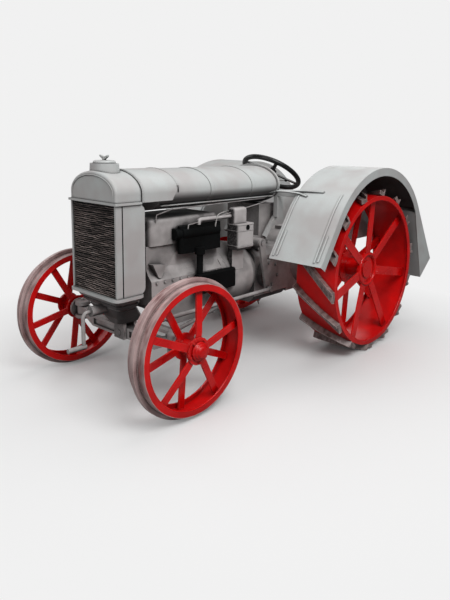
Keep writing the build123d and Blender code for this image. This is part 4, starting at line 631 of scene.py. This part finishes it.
def grown(name, points, tree, material, body="chassis", attributes=()):
    """Runs a tree on points in mm. attributes are (name, kind, field, values in one list)."""
    mesh = mesh_from(name + " points", [Vector(point) * MM for point in points], [])
    for key, kind, field, values in attributes:
        mesh.attributes.new(key, kind, "POINT").data.foreach_set(field, values)
    carrier = shown(name + " carrier", mesh)
    carrier.modifiers.new("tree", "NODES").node_group = tree
    made = mesh_of(carrier, name)
    if "out" in made.attributes:
        made.attributes.remove(made.attributes["out"])
    return riding(name, made, material, body)


def fasten(name, spots, tree, material, body="chassis"):
    """One piece of fasteners. spots are (place, way out, width) with lengths in mm."""
    places, ways, widths = zip(*spots)
    outs = [value for way in ways for value in Vector(way).normalized()]
    return grown(name, places, tree, material, body,
                 [("out", "FLOAT_VECTOR", "vector", outs),
                  ("width", "FLOAT", "value", [width * MM for width in widths])])


def ring(centre, axis, radius, count, width, first=0.0):
    """Spots in a circle round an axis, facing along it. first is in degrees."""
    axis, side, up = around_axis(axis)
    return [(Vector(centre) + radius * (math.cos(t) * side + math.sin(t) * up), axis, width)
            for t in (math.radians(first) + n * math.tau / count for n in range(count))]


def row(start, end, out, count, width):
    """Spots at even steps from start to end, facing out."""
    start, end = Vector(start), Vector(end)
    return [(start.lerp(end, (n + 0.5) / count), out, width) for n in range(count)]


print("first of three spots:", row((0, 0, 0), (6, 0, 0), (0, 0, 1), 3, 1)[0])

# %% [markdown]
# ## Bolts on the castings
# Each group follows a real joint: the crankcase's flange, the head's studs, the ends of the axle
# housing, and so on. Bolts wear the paint of what they hold, because the tractor was painted
# after it was put together.

# %% Set the bolts of the chassis
SMALL_BOLT, COVER_BOLT, FLANGE_BOLT, HEAD_STUD, DRAWBAR_BOLT = 13, 16, 17, 20, 22
BELL_Z, BELL_FLANGE, BELL_BOLT_R = 560, 37, 212
CASE_BOLT_Z, TRUMPET_X, TRUMPET_BOLT_R, COVER_BOLT_R = 652, 435, 100, 84
STUD_IN, STUD_MIDDLE, BAR_BOLT_X = 40, 50, 58

casting_spots = []
for side, _ in reversed(SIDES):
    # crankcase flange, and the end of the axle housing as seen from the tractor's middle
    casting_spots += row((side * block_high.x, block_front + 10, CASE_BOLT_Z),
                         (side * block_high.x, block_back - 20, CASE_BOLT_Z),
                         (side, 0, 0), 9, SMALL_BOLT)
    casting_spots += ring((side * TRUMPET_X, axle_y, axle_z), (-side, 0, 0), TRUMPET_BOLT_R, 8,
                          FLANGE_BOLT, 12)
# front flange of the flywheel housing, where the engine leaves it open
casting_spots += [spot for spot in ring((0, bell_front + BELL_FLANGE, BELL_Z), (0, 1, 0),
                                        BELL_BOLT_R, 16, FLANGE_BOLT, 8)
                  if abs(spot[0][0]) > 120 or spot[0][2] < BELL_Z]
# four rows of studs on the head
stud_x = head_high.x - STUD_IN
for x in (-stud_x, -STUD_MIDDLE, STUD_MIDDLE, stud_x):
    casting_spots += row((x, block_front + 70, head_high.z), (x, block_back - 60, head_high.z),
                         (0, 0, 1), 6, HEAD_STUD)
# pulley cover on the left; the holes on the right stay open for a belt pulley
cover_low, cover_high = box_mm("pulley_cover")
cover_mid = (cover_low + cover_high) / 2
casting_spots += ring((cover_high.x, cover_mid.y, cover_mid.z), (1, 0, 0), COVER_BOLT_R, 6,
                      COVER_BOLT)
# foot of the drawbar
bar_low, bar_high = box_mm("drawbar")
casting_spots += [((x, bar_low.y + 24, z), (0, 1, 0), DRAWBAR_BOLT)
                  for x in (-BAR_BOLT_X, BAR_BOLT_X) for z in (bar_low.z + 22, bar_high.z - 16)]
fasten("casting_bolts", casting_spots, bolts, cast_grey)
print("bolts on castings:", len(casting_spots))

# %% [markdown]
# ## Rivets and bolts on the wheels
# The rear spokes are riveted between the hub's flanges, and each lug is held to the rim by
# rivets through its foot. The front hubs have a bolted flange.

# %% Set the fasteners of the wheels
LUGS, LUG_SKEW, LUG_START = 14, math.radians(39.5), math.radians(19.35)
LUG_FOOT_MID, LUG_FOOT_TOP, REAR_RIM_R = 30, 9, 533.4
LUG_RIVET, LUG_RIVET_STEPS = 24, (-128, -46, 46, 128)
SPOKES, SPOKE_START, SPOKE_LEAN = 7, 88, -0.08
HUB_FACE_X, SPOKE_RIVET_R, SPOKE_RIVET, SPOKE_RIVET_STEPS = 707, 150, 14, (-15, 15)
FRONT_FLANGE_R, FRONT_FLANGE_IN = 64, 31


def lug_feet(side, centre):
    """Two pairs of rivets in the foot of each lug."""
    spots = []
    for n in range(LUGS):
        turn = LUG_START + n * math.tau / LUGS
        outward = Vector((0, -math.cos(turn), -math.sin(turn)))
        along = Vector((0, math.sin(turn), -math.cos(turn)))
        run = Vector((side * math.cos(LUG_SKEW), 0, 0)) + math.sin(LUG_SKEW) * along
        foot = Vector((-side * math.sin(LUG_SKEW), 0, 0)) + math.cos(LUG_SKEW) * along
        start = centre + outward * (REAR_RIM_R + LUG_FOOT_TOP) + foot * LUG_FOOT_MID
        spots += [(start + run * step, outward, LUG_RIVET) for step in LUG_RIVET_STEPS]
    return spots


def spoke_feet(side):
    """A pair of rivets through the hub's flange at each outboard spoke."""
    spots = []
    for n in range(SPOKES):
        turn = math.radians(SPOKE_START) + n * math.tau / SPOKES
        across = Vector((0, math.sin(turn), math.cos(turn)))
        outward = Vector((0, -math.cos(turn), math.sin(turn)))
        middle = Vector((side * HUB_FACE_X, axle_y, axle_z)) + outward * SPOKE_RIVET_R
        lean = Vector((side, 0, 0)) - outward * SPOKE_LEAN
        spots += [(middle + across * step, lean, SPOKE_RIVET) for step in SPOKE_RIVET_STEPS]
    return spots


front_hub_x = box_mm("front_spokes_left")[1].x - FRONT_FLANGE_IN
for side, word in SIDES:
    rear_body = "rear_wheel_" + word
    rear_mid = Vector((side * rear_axle[0] / MM, axle_y, axle_z))
    fasten("lug_rivets_" + word, lug_feet(side, rear_mid), rivets, rear_rim, rear_body)
    fasten("spoke_rivets_" + word, spoke_feet(side), rivets, spoke_red, rear_body)
    flange = ring((side * front_hub_x, front_y, front_z), (side, 0, 0), FRONT_FLANGE_R, 5,
                  SMALL_BOLT, 10)
    fasten("front_hub_bolts_" + word, flange, bolts, spoke_red, "front_wheel_" + word)
print("rivets on each rear wheel:", LUGS * len(LUG_RIVET_STEPS) + SPOKES * 2)

# %% [markdown]
# ## Wavy radiator fins
# The radiator's fins are thin tin strips, bent by years of stones and brushes. A tree repeats
# one strip up the core and moves every point a little with noise, so that no two fins run alike
# and their light edges break up into short dashes. The noise is squeezed, so that waves don't
# change from a fin's front edge to its back edge.

# %% Fins on the radiator
FIN_ROWS, FIN_STEPS, FIN_DEEP, FIN_THICK, FIN_SHORT, FIN_SUNK = 46, 80, 7.0, 3.4, 3, 3.2
WAVE_SQUEEZE, WAVE_SCALE, WAVE_HEIGHT, WAVE_DEPTH = (0.45, 0.0, 2.2), 34.0, 15 * MM, 5 * MM

# one fin across the core: a thin closed strip with its middle at the origin
core_low, core_high = box_mm("radiator_core")
half = (core_high.x - core_low.x) / 2 - FIN_SHORT
rim = ((-FIN_DEEP / 2, 0), (0, FIN_THICK / 2), (FIN_DEEP / 2, 0), (0, -FIN_THICK / 2))
verts = [((-half + 2 * half * n / FIN_STEPS) * MM, y * MM, z * MM)
         for n in range(FIN_STEPS + 1) for y, z in rim]
faces = [(n * 4 + side, n * 4 + side + 4, n * 4 + (side + 1) % 4 + 4, n * 4 + (side + 1) % 4)
         for n in range(FIN_STEPS) for side in range(4)]
faces += [(0, 1, 2, 3), tuple(FIN_STEPS * 4 + n for n in (3, 2, 1, 0))]

# the tree sets it on each point, and moves it up and down and in and out
tree, _, solid = repeating_tree("wavy fins", pattern_object("one fin", verts, faces))
place = add(tree, "GeometryNodeInputPosition").outputs[0]
squeezed = vector_maths(tree, "MULTIPLY", place, WAVE_SQUEEZE)["Vector"]
waves = add(tree, "ShaderNodeTexNoise",
            {"Vector": squeezed, "Scale": WAVE_SCALE, "Detail": 2.0}).outputs["Color"]
centred = vector_maths(tree, "SUBTRACT", waves, (0.5, 0.5, 0.5))["Vector"]
shift = vector_maths(tree, "MULTIPLY", centred, (0.0, WAVE_DEPTH, WAVE_HEIGHT))["Vector"]
moved = add(tree, "GeometryNodeSetPosition", {"Geometry": solid.outputs[0], "Offset": shift})
add(tree, "NodeGroupOutput", {0: moved.outputs[0]})

fin_y = core_low.y - FIN_DEEP / 2 + FIN_SUNK
fin_points = [(0, fin_y, core_low.z + (core_high.z - core_low.z) * (n + 0.5) / FIN_ROWS)
              for n in range(FIN_ROWS)]
fins = grown("radiator_fins", fin_points, tree, fin_tin)
print("fins:", FIN_ROWS, "triangles:", sum(len(p.vertices) - 2 for p in fins.data.polygons))

# %% [markdown]
# ## Beads, seams and pipes
# Sheet steel is stiffened by beads: a ridge rolled into the sheet, or its edge turned over a
# wire. Each is a curve with a round bevel here, and so are the engine's thin rods and pipes. The
# curve becomes a plain mesh before it rides.


# %% A swept bar
def swept(name, paths, radius, material, body="chassis", smooth=False, closed=False):
    """Round bars along paths of points, all in mm, as one plain mesh."""
    curve = tuned(bpy.data.curves.new(name, "CURVE"), dimensions="3D", bevel_depth=radius * MM,
                  bevel_resolution=2, resolution_u=6, use_fill_caps=True)
    for path in paths:
        spline = curve.splines.new("NURBS" if smooth else "POLY")
        spline.points.add(len(path) - 1)
        for point, place in zip(spline.points, path):
            point.co = (*(Vector(place) * MM), 1.0)
        if smooth:
            spline.order_u = 3
            spline.use_endpoint_u = True
        spline.use_cyclic_u = closed
    mesh = mesh_of(shown(name + " curve", curve), name)
    for polygon in mesh.polygons:
        polygon.use_smooth = True
    return riding(name, mesh, material, body)


def polar(mid, radius, angle):
    """Point on a circle, as a pair."""
    return mid[0] + radius * math.cos(angle), mid[1] + radius * math.sin(angle)


print("a quarter turn from (1, 0):", [round(v, 3) for v in polar((0, 0), 1, math.pi / 2)])

# %% [markdown]
# ## Edges of the fenders
# A fender is an arc of sheet steel with a straight leg at each end. Its rolled edges and the
# raised beads on its front leg all follow one line, its outline seen from the side.

# %% The fender's line
FENDER_R, LEG_ANGLE, ARC_STEPS = 672, math.radians(33), 36
ARC_BEHIND, FRONT_FOOT_Z, REAR_FOOT_Z = 11, 717, 549
fender_low, fender_high = box_mm("fender_left")
IN_X, OUT_X = fender_low.x, fender_high.x
fender_mid = (axle_y + ARC_BEHIND, fender_high.z - FENDER_R)


def fender_line(radius, rear_z):
    """Points (y, z) from the front foot over the arc and down to the height rear_z."""
    start = math.pi - LEG_ANGLE
    knee = polar(fender_mid, radius, start)
    run = (fender_mid[1] + FENDER_R * math.sin(start) - FRONT_FOOT_Z) / math.cos(LEG_ANGLE)
    line = [(knee[0] - run * math.sin(LEG_ANGLE), knee[1] - run * math.cos(LEG_ANGLE))]
    line += [polar(fender_mid, radius, start - n * (start - LEG_ANGLE) / ARC_STEPS)
             for n in range(ARC_STEPS + 1)]
    last = line[-1]
    drop = (last[1] - rear_z) / math.cos(LEG_ANGLE)
    line.append((last[0] + drop * math.sin(LEG_ANGLE), last[1] - drop * math.cos(LEG_ANGLE)))
    return line


print("fender arc centre, mm:", [round(v, 1) for v in fender_mid])

# %% [markdown]
# Rolled edges run along both sides of the sheet, along the lower edge of the side wall, and
# across the front foot. The beads come in pairs, a long and a short one by each side.

# %% Rolled edges and beads
EDGE_R, BEAD_R, WALL_DEEP, WALL_END_Z = 3.4, 8.0, 54, 780
# distance from the inner or the outer edge, share of the leg at its two ends, steps up the arc
LEG_BEADS = [("inner", 26, 0.07, 1.0, 5), ("inner", 52, 0.09, 0.62, 0),
             ("outer", 62, 0.07, 1.0, 5), ("outer", 36, 0.09, 0.62, 0)]


def leg_bead(side, edge, inset, low_share, high_share, arc_points):
    """Path up the front leg, and some way over the arc."""
    x = IN_X + inset if edge == "inner" else OUT_X - inset
    leg = [Vector((side * x, y, z)) for y, z in fender_line(FENDER_R - 0.5, REAR_FOOT_Z)]
    ends = [leg[0].lerp(leg[1], share) for share in (low_share, high_share)]
    return ends + leg[2:2 + arc_points]


for side, word in SIDES:
    edges = [(x, fender_line(FENDER_R - 2.5, REAR_FOOT_Z + 6)) for x in (IN_X + 3.5, OUT_X - 3.5)]
    edges.append((OUT_X - 3.4, fender_line(FENDER_R - WALL_DEEP, WALL_END_Z)))
    rolled = [[(side * x, y, z) for y, z in line] for x, line in edges]
    foot_y, foot_z = fender_line(FENDER_R - 3, REAR_FOOT_Z)[0]
    rolled.append([(side * x, foot_y + 3, foot_z + EDGE_R) for x in (IN_X + 4, OUT_X - 4)])
    swept("fender_rolled_edges_" + word, rolled, EDGE_R, sheet_grey)
    swept("fender_beads_" + word, [leg_bead(side, *bead) for bead in LEG_BEADS], BEAD_R,
          sheet_grey)
print("beads on each fender:", len(LEG_BEADS))

# %% [markdown]
# ## Beads of the radiator, the hood and the air washer
# The same bars edge the radiator's top tank and the hood, and close the seams of the air
# washer. The seams beside them get dark lines of soot and painted shade that outline every joint.


# %% Paths of the beads
def arched(y, half, rise, foot_z):
    """Path up one side, over half an ellipse and down the other side."""
    over = [(half * math.cos(n * math.pi / ARCH_STEPS), y,
             ARCH_SPRING_Z + rise * math.sin(n * math.pi / ARCH_STEPS))
            for n in range(ARCH_STEPS + 1)]
    return [(half, y, foot_z)] + over + [(-half, y, foot_z)]


def rounded_ring(x, y, z, corner, steps=5):
    """Closed level path round a rectangle with rounded corners, x and y as limits."""
    path = []
    for n, (cx, cy) in enumerate(((x[1] - corner, y[1] - corner), (x[0] + corner, y[1] - corner),
                                  (x[0] + corner, y[0] + corner), (x[1] - corner, y[0] + corner))):
        path += [(*polar((cx, cy), corner, math.radians(90 * (n + step / steps))), z)
                 for step in range(steps + 1)]
    return path


ARCH_STEPS, ARCH_SPRING_Z = 24, 1176
print("points on an arch:", ARCH_STEPS + 3)

# %% Set the beads
FACE_AHEAD, CORE_FOOT_Z, CORE_TOP_Z = 9, 619, 1121
TANK_HALF, TANK_RISE, HOOD_RISE, POST_X, BEAD_IN = 194, 98, 125, 209.5, 3.5
CAN_TOP, CAN_CORNER, CAN_SEAMS = 944, 24, (5, 44, 142)
face_y = core_low.y - FACE_AHEAD
hood_low, hood_high = box_mm("hood")

swept("top_tank_bead", [arched(face_y + 0.5, TANK_HALF, TANK_RISE, CORE_TOP_Z + 15)], 4.2,
      sheet_grey)
swept("hood_beads", [arched(hood_low.y + 9, hood_high.x - 1, HOOD_RISE, CORE_TOP_Z + 12),
                     arched(hood_high.y - 5, hood_high.x - 1, HOOD_RISE, CORE_TOP_Z + 94)],
      4, sheet_grey)
# the radiator's posts have a rounded front edge
swept("radiator_post_beads", [[(x, face_y + BEAD_IN, z) for z in (CORE_FOOT_Z, CORE_TOP_Z - 1)]
                              for x in (-POST_X, POST_X)], 4, sheet_grey)
can_x, can_y = (176, 286), (bell_front + 56, bell_front + 218)
swept("air_washer_beads",
      [rounded_ring((can_x[0] + 0.5, can_x[1] - 0.5), (can_y[0] + 0.5, can_y[1] - 0.5),
                    CAN_TOP - down, CAN_CORNER) for down in CAN_SEAMS],
      3.4, washer_grey, closed=True)
print("seams on the air washer:", len(CAN_SEAMS))

# %% [markdown]
# ## Sparks and wires
# Four spark plugs stand on the head, each with its wire to a tube along the head.

# %% Plugs, wires and their tube
PLUG = [(13, -2), (13, 9), (7, 10), (7, 24), (9, 25), (9, 31), (4, 33), (4, 41)]
PLUG_LEAN, PLUG_IN, PLUG_SHARES = (0.25, 0, 1), 34, (0.14, 0.38, 0.62, 0.86)
TUBE_IN, TUBE_UP = 92, 26
head_z = head_high.z
plug_x, tube_x, tube_z = head_high.x - PLUG_IN, head_high.x - TUBE_IN, head_z + TUBE_UP
plug_ys = [block_front + (block_back - block_front) * share for share in PLUG_SHARES]

turned("spark_plugs", [((plug_x, y, head_z), PLUG_LEAN, PLUG) for y in plug_ys], bright_steel)
wires = [[(plug_x + 10, y, head_z + 40), (plug_x + 4, y, head_z + 52),
          (plug_x - 24, y + 6, head_z + 46), (tube_x, y + 14, tube_z)] for y in plug_ys]
swept("spark_wires", wires, 3.5, wheel_black, smooth=True)
swept("wire_conduit", [[(tube_x, plug_ys[0] - 20, tube_z), (tube_x, plug_ys[-1] + 30, tube_z)]],
      8, forged_grey)
swept("conduit_feet", [[(tube_x, y, tube_z), (tube_x, y, head_z - 2)]
                       for y in (plug_ys[0], plug_ys[-1])], 6, forged_grey)
print("spark plugs:", len(plug_ys))

# %% [markdown]
# ## Pipe and rods
# A fuel pipe comes down from the tank to the vaporizer on the manifold. Two thin rods run
# forward from the dash: one to the vaporizer, one to the front of the block. The pipe is a
# smooth curve and the rods are bent, through points beside the pieces they pass.

# %% Fuel pipe and control rods
manifold_low, manifold_high = box_mm("manifold")
tank_z = box_mm("fuel_tank")[0].z
dash_y = box_mm("dash_panel")[0].y
BARREL_DOWN = 46
barrel_z = manifold_high.z - BARREL_DOWN
fuel_path = [(70, dash_y - 130, tank_z + 8), (70, dash_y - 130, tank_z - 16),
             (150, dash_y - 160, tank_z - 22), (214, manifold_high.y - 30, tank_z - 28),
             (224, manifold_high.y - 60, manifold_high.z + 30),
             (210, manifold_high.y - 60, manifold_high.z - 34)]
throttle_path = [(196, dash_y + 8, 1062), (214, manifold_high.y + 40, 1010),
                 (214, manifold_low.y + 90, barrel_z + 52),
                 (206, manifold_low.y + 90, barrel_z + 16)]
spark_path = [(182, dash_y + 8, 1084), (190, block_front + 160, 1072),
              (178, block_front + 60, 1046), (168, block_front + 60, 1000)]
swept("fuel_pipe", [fuel_path], 4.5, bright_steel, smooth=True)
swept("control_rods", [throttle_path, spark_path], 4, forged_grey)
print("rods start at the dash, y", round(dash_y))

# %% [markdown]
# ## Small fittings
# A three-cornered bracket stands on the block's front corner. The radiator has a drain cock
# below, the air washer a round cover, and each kingpin an oiler that turns with its knuckle.


# %% Bracket, cock, cover and oilers
def wedge(corners, x_low, x_high):
    """A flat plate. corners are (y, z), clockwise seen from +x, between two values of x."""
    count = len(corners)
    verts = [Vector((x, y, z)) * MM for x in (x_low, x_high) for y, z in corners]
    faces = [tuple(range(count)), tuple(reversed(range(count, 2 * count)))]
    faces += [(n, count + n, count + (n + 1) % count, (n + 1) % count) for n in range(count)]
    return verts, faces


BRACKET = [(18, 762), (112, 752), (108, 736), (78, 678), (58, 682)]
BRACKET_X = (149, 196)
COCK, COVER = [(9, 0), (9, 22), (6, 23), (6, 40)], [(17, 0), (17, 4), (14, 6), (5, 7)]
OILER, KINGPIN_X, OILER_DOWN = [(10, 0), (10, 12), (7, 16)], 450, 40

plate = wedge([(block_front + y, z) for y, z in BRACKET], *BRACKET_X)
plain_mesh("block_bracket", *plate, cast_grey)
turned("drain_cock", [((150, face_y + 60, CORE_FOOT_Z - 15), (0, 0, -1), COCK)], bright_steel,
       around=12)
turned("washer_cover", [((can_x[1] - 2, can_y[0] + 92, CAN_TOP - 25), (1, 0, 0), COVER)],
       soot_iron)
oiler_z = box_mm("knuckle_left")[1].z - OILER_DOWN
for side, word in SIDES:
    turned("knuckle_oilers_" + word, [((side * KINGPIN_X, front_y, oiler_z), (0, 0, 1), OILER)],
           bright_steel, "knuckle_" + word, around=12)
print("oilers at z", round(oiler_z))

# %% [markdown]
# ## Hubs and rims
# The rear hubs have a rounded ring cast round their recess, and the front hubs a stepped cap
# that keeps the grease in. The lips of all four rims are rolled, and catch the light.


# %% Rings and caps on the wheels
def red_rings(name, rings, thick, body, count=72):
    """Closed upright rings of red enamel. rings are (x, mid, radius)."""
    paths = [[(x, *polar(mid, radius, n * math.tau / count)) for n in range(count)]
             for x, mid, radius in rings]
    swept(name, paths, thick, spoke_red, body, closed=True)


HUB_RING_X, HUB_RING_R, HUB_RING_THICK = 703, 110, 11
# x of the wheel's middle, half its width, and the radius inside its lip
REAR_LIP, FRONT_LIP, LIP_IN, LIP_THICK = (620, 152.5, 505), (559, 63.5, 323), 4.5, 5.5
CAP_X = 628
CAP = [(52, 0), (52, 11), (48, 15), (42, 16), (42, 23), (38, 27), (31, 28), (31, 35), (27, 38),
       (9, 39)]
rear_mid, front_mid = (axle_y, axle_z), (front_y, front_z)


def lips(side, mid, wheel_x, half, radius):
    """The two rolled lips of a rim."""
    return [(side * wheel_x + way * (half - LIP_IN), mid, radius) for way in (-1, 1)]


for side, word in SIDES:
    rear_body, front_body = "rear_wheel_" + word, "front_wheel_" + word
    red_rings("rear_hub_ring_" + word, [(side * HUB_RING_X, rear_mid, HUB_RING_R)],
              HUB_RING_THICK, rear_body)
    red_rings("rear_lip_beads_" + word, lips(side, rear_mid, *REAR_LIP), LIP_THICK, rear_body)
    red_rings("front_lip_beads_" + word, lips(side, front_mid, *FRONT_LIP), LIP_THICK, front_body)
    turned("front_hub_cap_" + word, [((side * CAP_X, front_y, front_z), (side, 0, 0), CAP)],
           spoke_red, front_body, around=32)
print("lips rolled on", 2 * len(SIDES), "wheels")

# %% [markdown]
# ## Forked straps
# A forked strap of bar steadies each fender from the dash. Its two prongs lie on the fender's
# face, where its arc comes level with the dash.

# %% Lay the prongs on the fender
FORK_X, FORK_Z, FORK_STEP = 340, 1140, 70
PRONG_ENDS = ((590, 1146), (478, 1112))


def on_face(x, z, lift=6):
    """Point on the front of the fender's arc at height z."""
    up = z - fender_mid[1]
    return (x, fender_mid[0] - math.sqrt((FENDER_R + lift) ** 2 - up * up), z)


def prong(end_x, end_z):
    """Path from the dash to one end on the fender."""
    root = [(218, dash_y + 18, 1118), (270, dash_y + 12, 1136), (FORK_X, dash_y + 6, FORK_Z + 4)]
    inner = on_face(FORK_X + FORK_STEP, (FORK_Z + end_z) / 2 + 2)
    between = on_face((inner[0] + end_x) / 2, (inner[2] + end_z) / 2)
    return root + [inner, between, on_face(end_x, end_z, 2)]


for side, word in SIDES:
    swept("forked_strap_" + word, [[(side * x, y, z) for x, y, z in prong(*end)]
                                   for end in PRONG_ENDS], 7.5, sheet_grey, smooth=True)
print("prongs end at", PRONG_ENDS)

# %% [markdown]
# ## Steering wheel and hand levers
# A nut holds the steering wheel to its tilted shaft. Under the wheel stand the two hand levers
# for spark and throttle, with a knob on each.

# %% Nut, levers and knobs
WHEEL_TILT, NUT_UP, LEVERS_DOWN = math.radians(33.5), 19, 74
NUT = [(26, 0), (26, 6), (17, 7), (17, 22), (14, 25)]
KNOB = [(3, -10), (8, -7), (11, -1), (11, 3), (7, 8), (2, 10)]
LEVER_REACH, LEVER_UP = (128, 34, -22), 38
wheel_low, wheel_high = box_mm("steering_wheel")
wheel_mid = (wheel_low + wheel_high) / 2
column = Vector((0, math.sin(WHEEL_TILT), math.cos(WHEEL_TILT)))
turned("steering_nut", [(wheel_mid + column * NUT_UP, column, NUT)], wheel_black,
       "steering_wheel", around=12)
root = wheel_mid - column * LEVERS_DOWN
reach_x, reach_y, reach_z = LEVER_REACH
lever_ends = [root + Vector((side * reach_x, reach_y, reach_z)) + column * LEVER_UP
              for side in (-1, 1)]
swept("hand_levers", [[root, root.lerp(end, 0.55) + column * 3, end] for end in lever_ends],
      4, bright_steel, smooth=True)
turned("lever_knobs", [(end, column, KNOB) for end in lever_ends], wheel_black, around=14)
print("steering wheel's middle, mm:", [round(v) for v in wheel_mid])

# %% [markdown]
# ## Hinges of the tool boxes
# The lids of the tool boxes hang on a hinge rod across the rear leg of each fender.

# %% Hinge rods
HINGE_UP, HINGE_SUNK, HINGE_HALF = 342, 1, 150
down_leg = Vector((0, math.sin(LEG_ANGLE), -math.cos(LEG_ANGLE)))
off_leg = Vector((0, math.cos(LEG_ANGLE), math.sin(LEG_ANGLE)))
rear_foot = Vector((0, *fender_line(FENDER_R, REAR_FOOT_Z)[-1]))
hinge_mid = rear_foot - down_leg * HINGE_UP - off_leg * HINGE_SUNK
for side, word in SIDES:
    mid_x = side * (IN_X + OUT_X) / 2
    ends = [hinge_mid + Vector((mid_x + d, 0, 0)) for d in (-HINGE_HALF, HINGE_HALF)]
    swept("tool_box_hinge_" + word, [ends], 6, sheet_grey)
print("hinges at z", round(hinge_mid.z))

# %% [markdown]
# ## Perforated seat
# The pan seat is one pressed bowl with rows of slots, so that rain runs off and air comes
# through. It is laid out in rings and spokes, like a dartboard, with some fields left open. This
# piece stands for the plain bowl of the CAD model.

# %% The bowl's surface
seat_low = box_mm("pan_seat")[0]
BOWL_R, RIM_UP, RIM_TILT, SHEET, SEAT_BEHIND = 300, 84, 0.22, 4, 365
bowl_mid = Vector((0, axle_y + SEAT_BEHIND, seat_low.z + BOWL_R))


def rim_angle(around):
    """Polar angle of the bowl's rim at this way round, found by halving."""
    low, high = 0.05, 1.5
    for _ in range(30):
        middle = (low + high) / 2
        height = BOWL_R - BOWL_R * math.cos(middle)
        rim = RIM_UP + RIM_TILT * BOWL_R * math.sin(middle) * math.sin(around)
        low, high = (middle, high) if height < rim else (low, middle)
    return low


def bowl_point(ring_share, around, radius):
    """Point at a share of the way from the bowl's lowest point to its rim."""
    polar_angle = rim_angle(around) * ring_share
    out = math.sin(polar_angle)
    return bowl_mid + radius * Vector((out * math.cos(around), out * math.sin(around),
                                       -math.cos(polar_angle)))


print("rim's angle at the back, degrees:", round(math.degrees(rim_angle(math.pi / 2))))

# %% [markdown]
# A closed field has one face on the outer shell and one on the inner. Where it meets an open
# field or the rim, a narrow face joins the shells, so that the sheet is closed all round.

# %% The seat
RINGS, SPOKES_ROUND, SHIFTED_RINGS = 16, 96, (9, 10)
OPEN_RINGS, SLOT_PITCH, SLOT_FIELDS = (5, 6, 9, 10, 12, 13), 6, 3


def open_field(ring_number, spoke):
    """Slots and webs take three fields each. One double row is staggered against the others."""
    shift = SLOT_FIELDS if ring_number in SHIFTED_RINGS else 0
    return ring_number in OPEN_RINGS and (spoke + shift) % SLOT_PITCH < SLOT_FIELDS


def seat_mesh():
    """Points in metres and faces of the bowl with its slots."""
    verts = [bowl_point(level / RINGS, n * math.tau / SPOKES_ROUND, radius) * MM
             for radius in (BOWL_R, BOWL_R - SHEET) for level in range(1, RINGS + 1)
             for n in range(SPOKES_ROUND)]
    inner = RINGS * SPOKES_ROUND
    closed = {(level, n) for level in range(1, RINGS) for n in range(SPOKES_ROUND)
              if not open_field(level, n)}
    faces = []
    for level, n in sorted(closed):
        onward = (n + 1) % SPOKES_ROUND
        a, b = ((level - 1) * SPOKES_ROUND + k for k in (n, onward))
        c, d = b + SPOKES_ROUND, a + SPOKES_ROUND
        faces += [(a, b, c, d), (inner + a, inner + d, inner + c, inner + b)]
        borders = [((level - 1, n), a, b), ((level, onward), b, c), ((level + 1, n), c, d),
                   ((level, (n - 1) % SPOKES_ROUND), d, a)]
        faces += [(first, inner + first, inner + second, second)
                  for other, first, second in borders if other not in closed and other[0] != 0]
    # the first ring leaves a hole in the middle of each shell
    faces += [tuple(reversed(range(SPOKES_ROUND))), tuple(range(inner, inner + SPOKES_ROUND))]
    return verts, faces


seat = plain_mesh("perforated_seat", *seat_mesh(), sheet_grey)
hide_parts("pan_seat")
rim_path = [bowl_point(1, n * math.tau / SPOKES_ROUND, BOWL_R - SHEET / 2)
            for n in range(SPOKES_ROUND)]
swept("seat_rim_bead", [rim_path], 5, sheet_grey, closed=True)
print("seat faces:", len(seat.data.polygons))
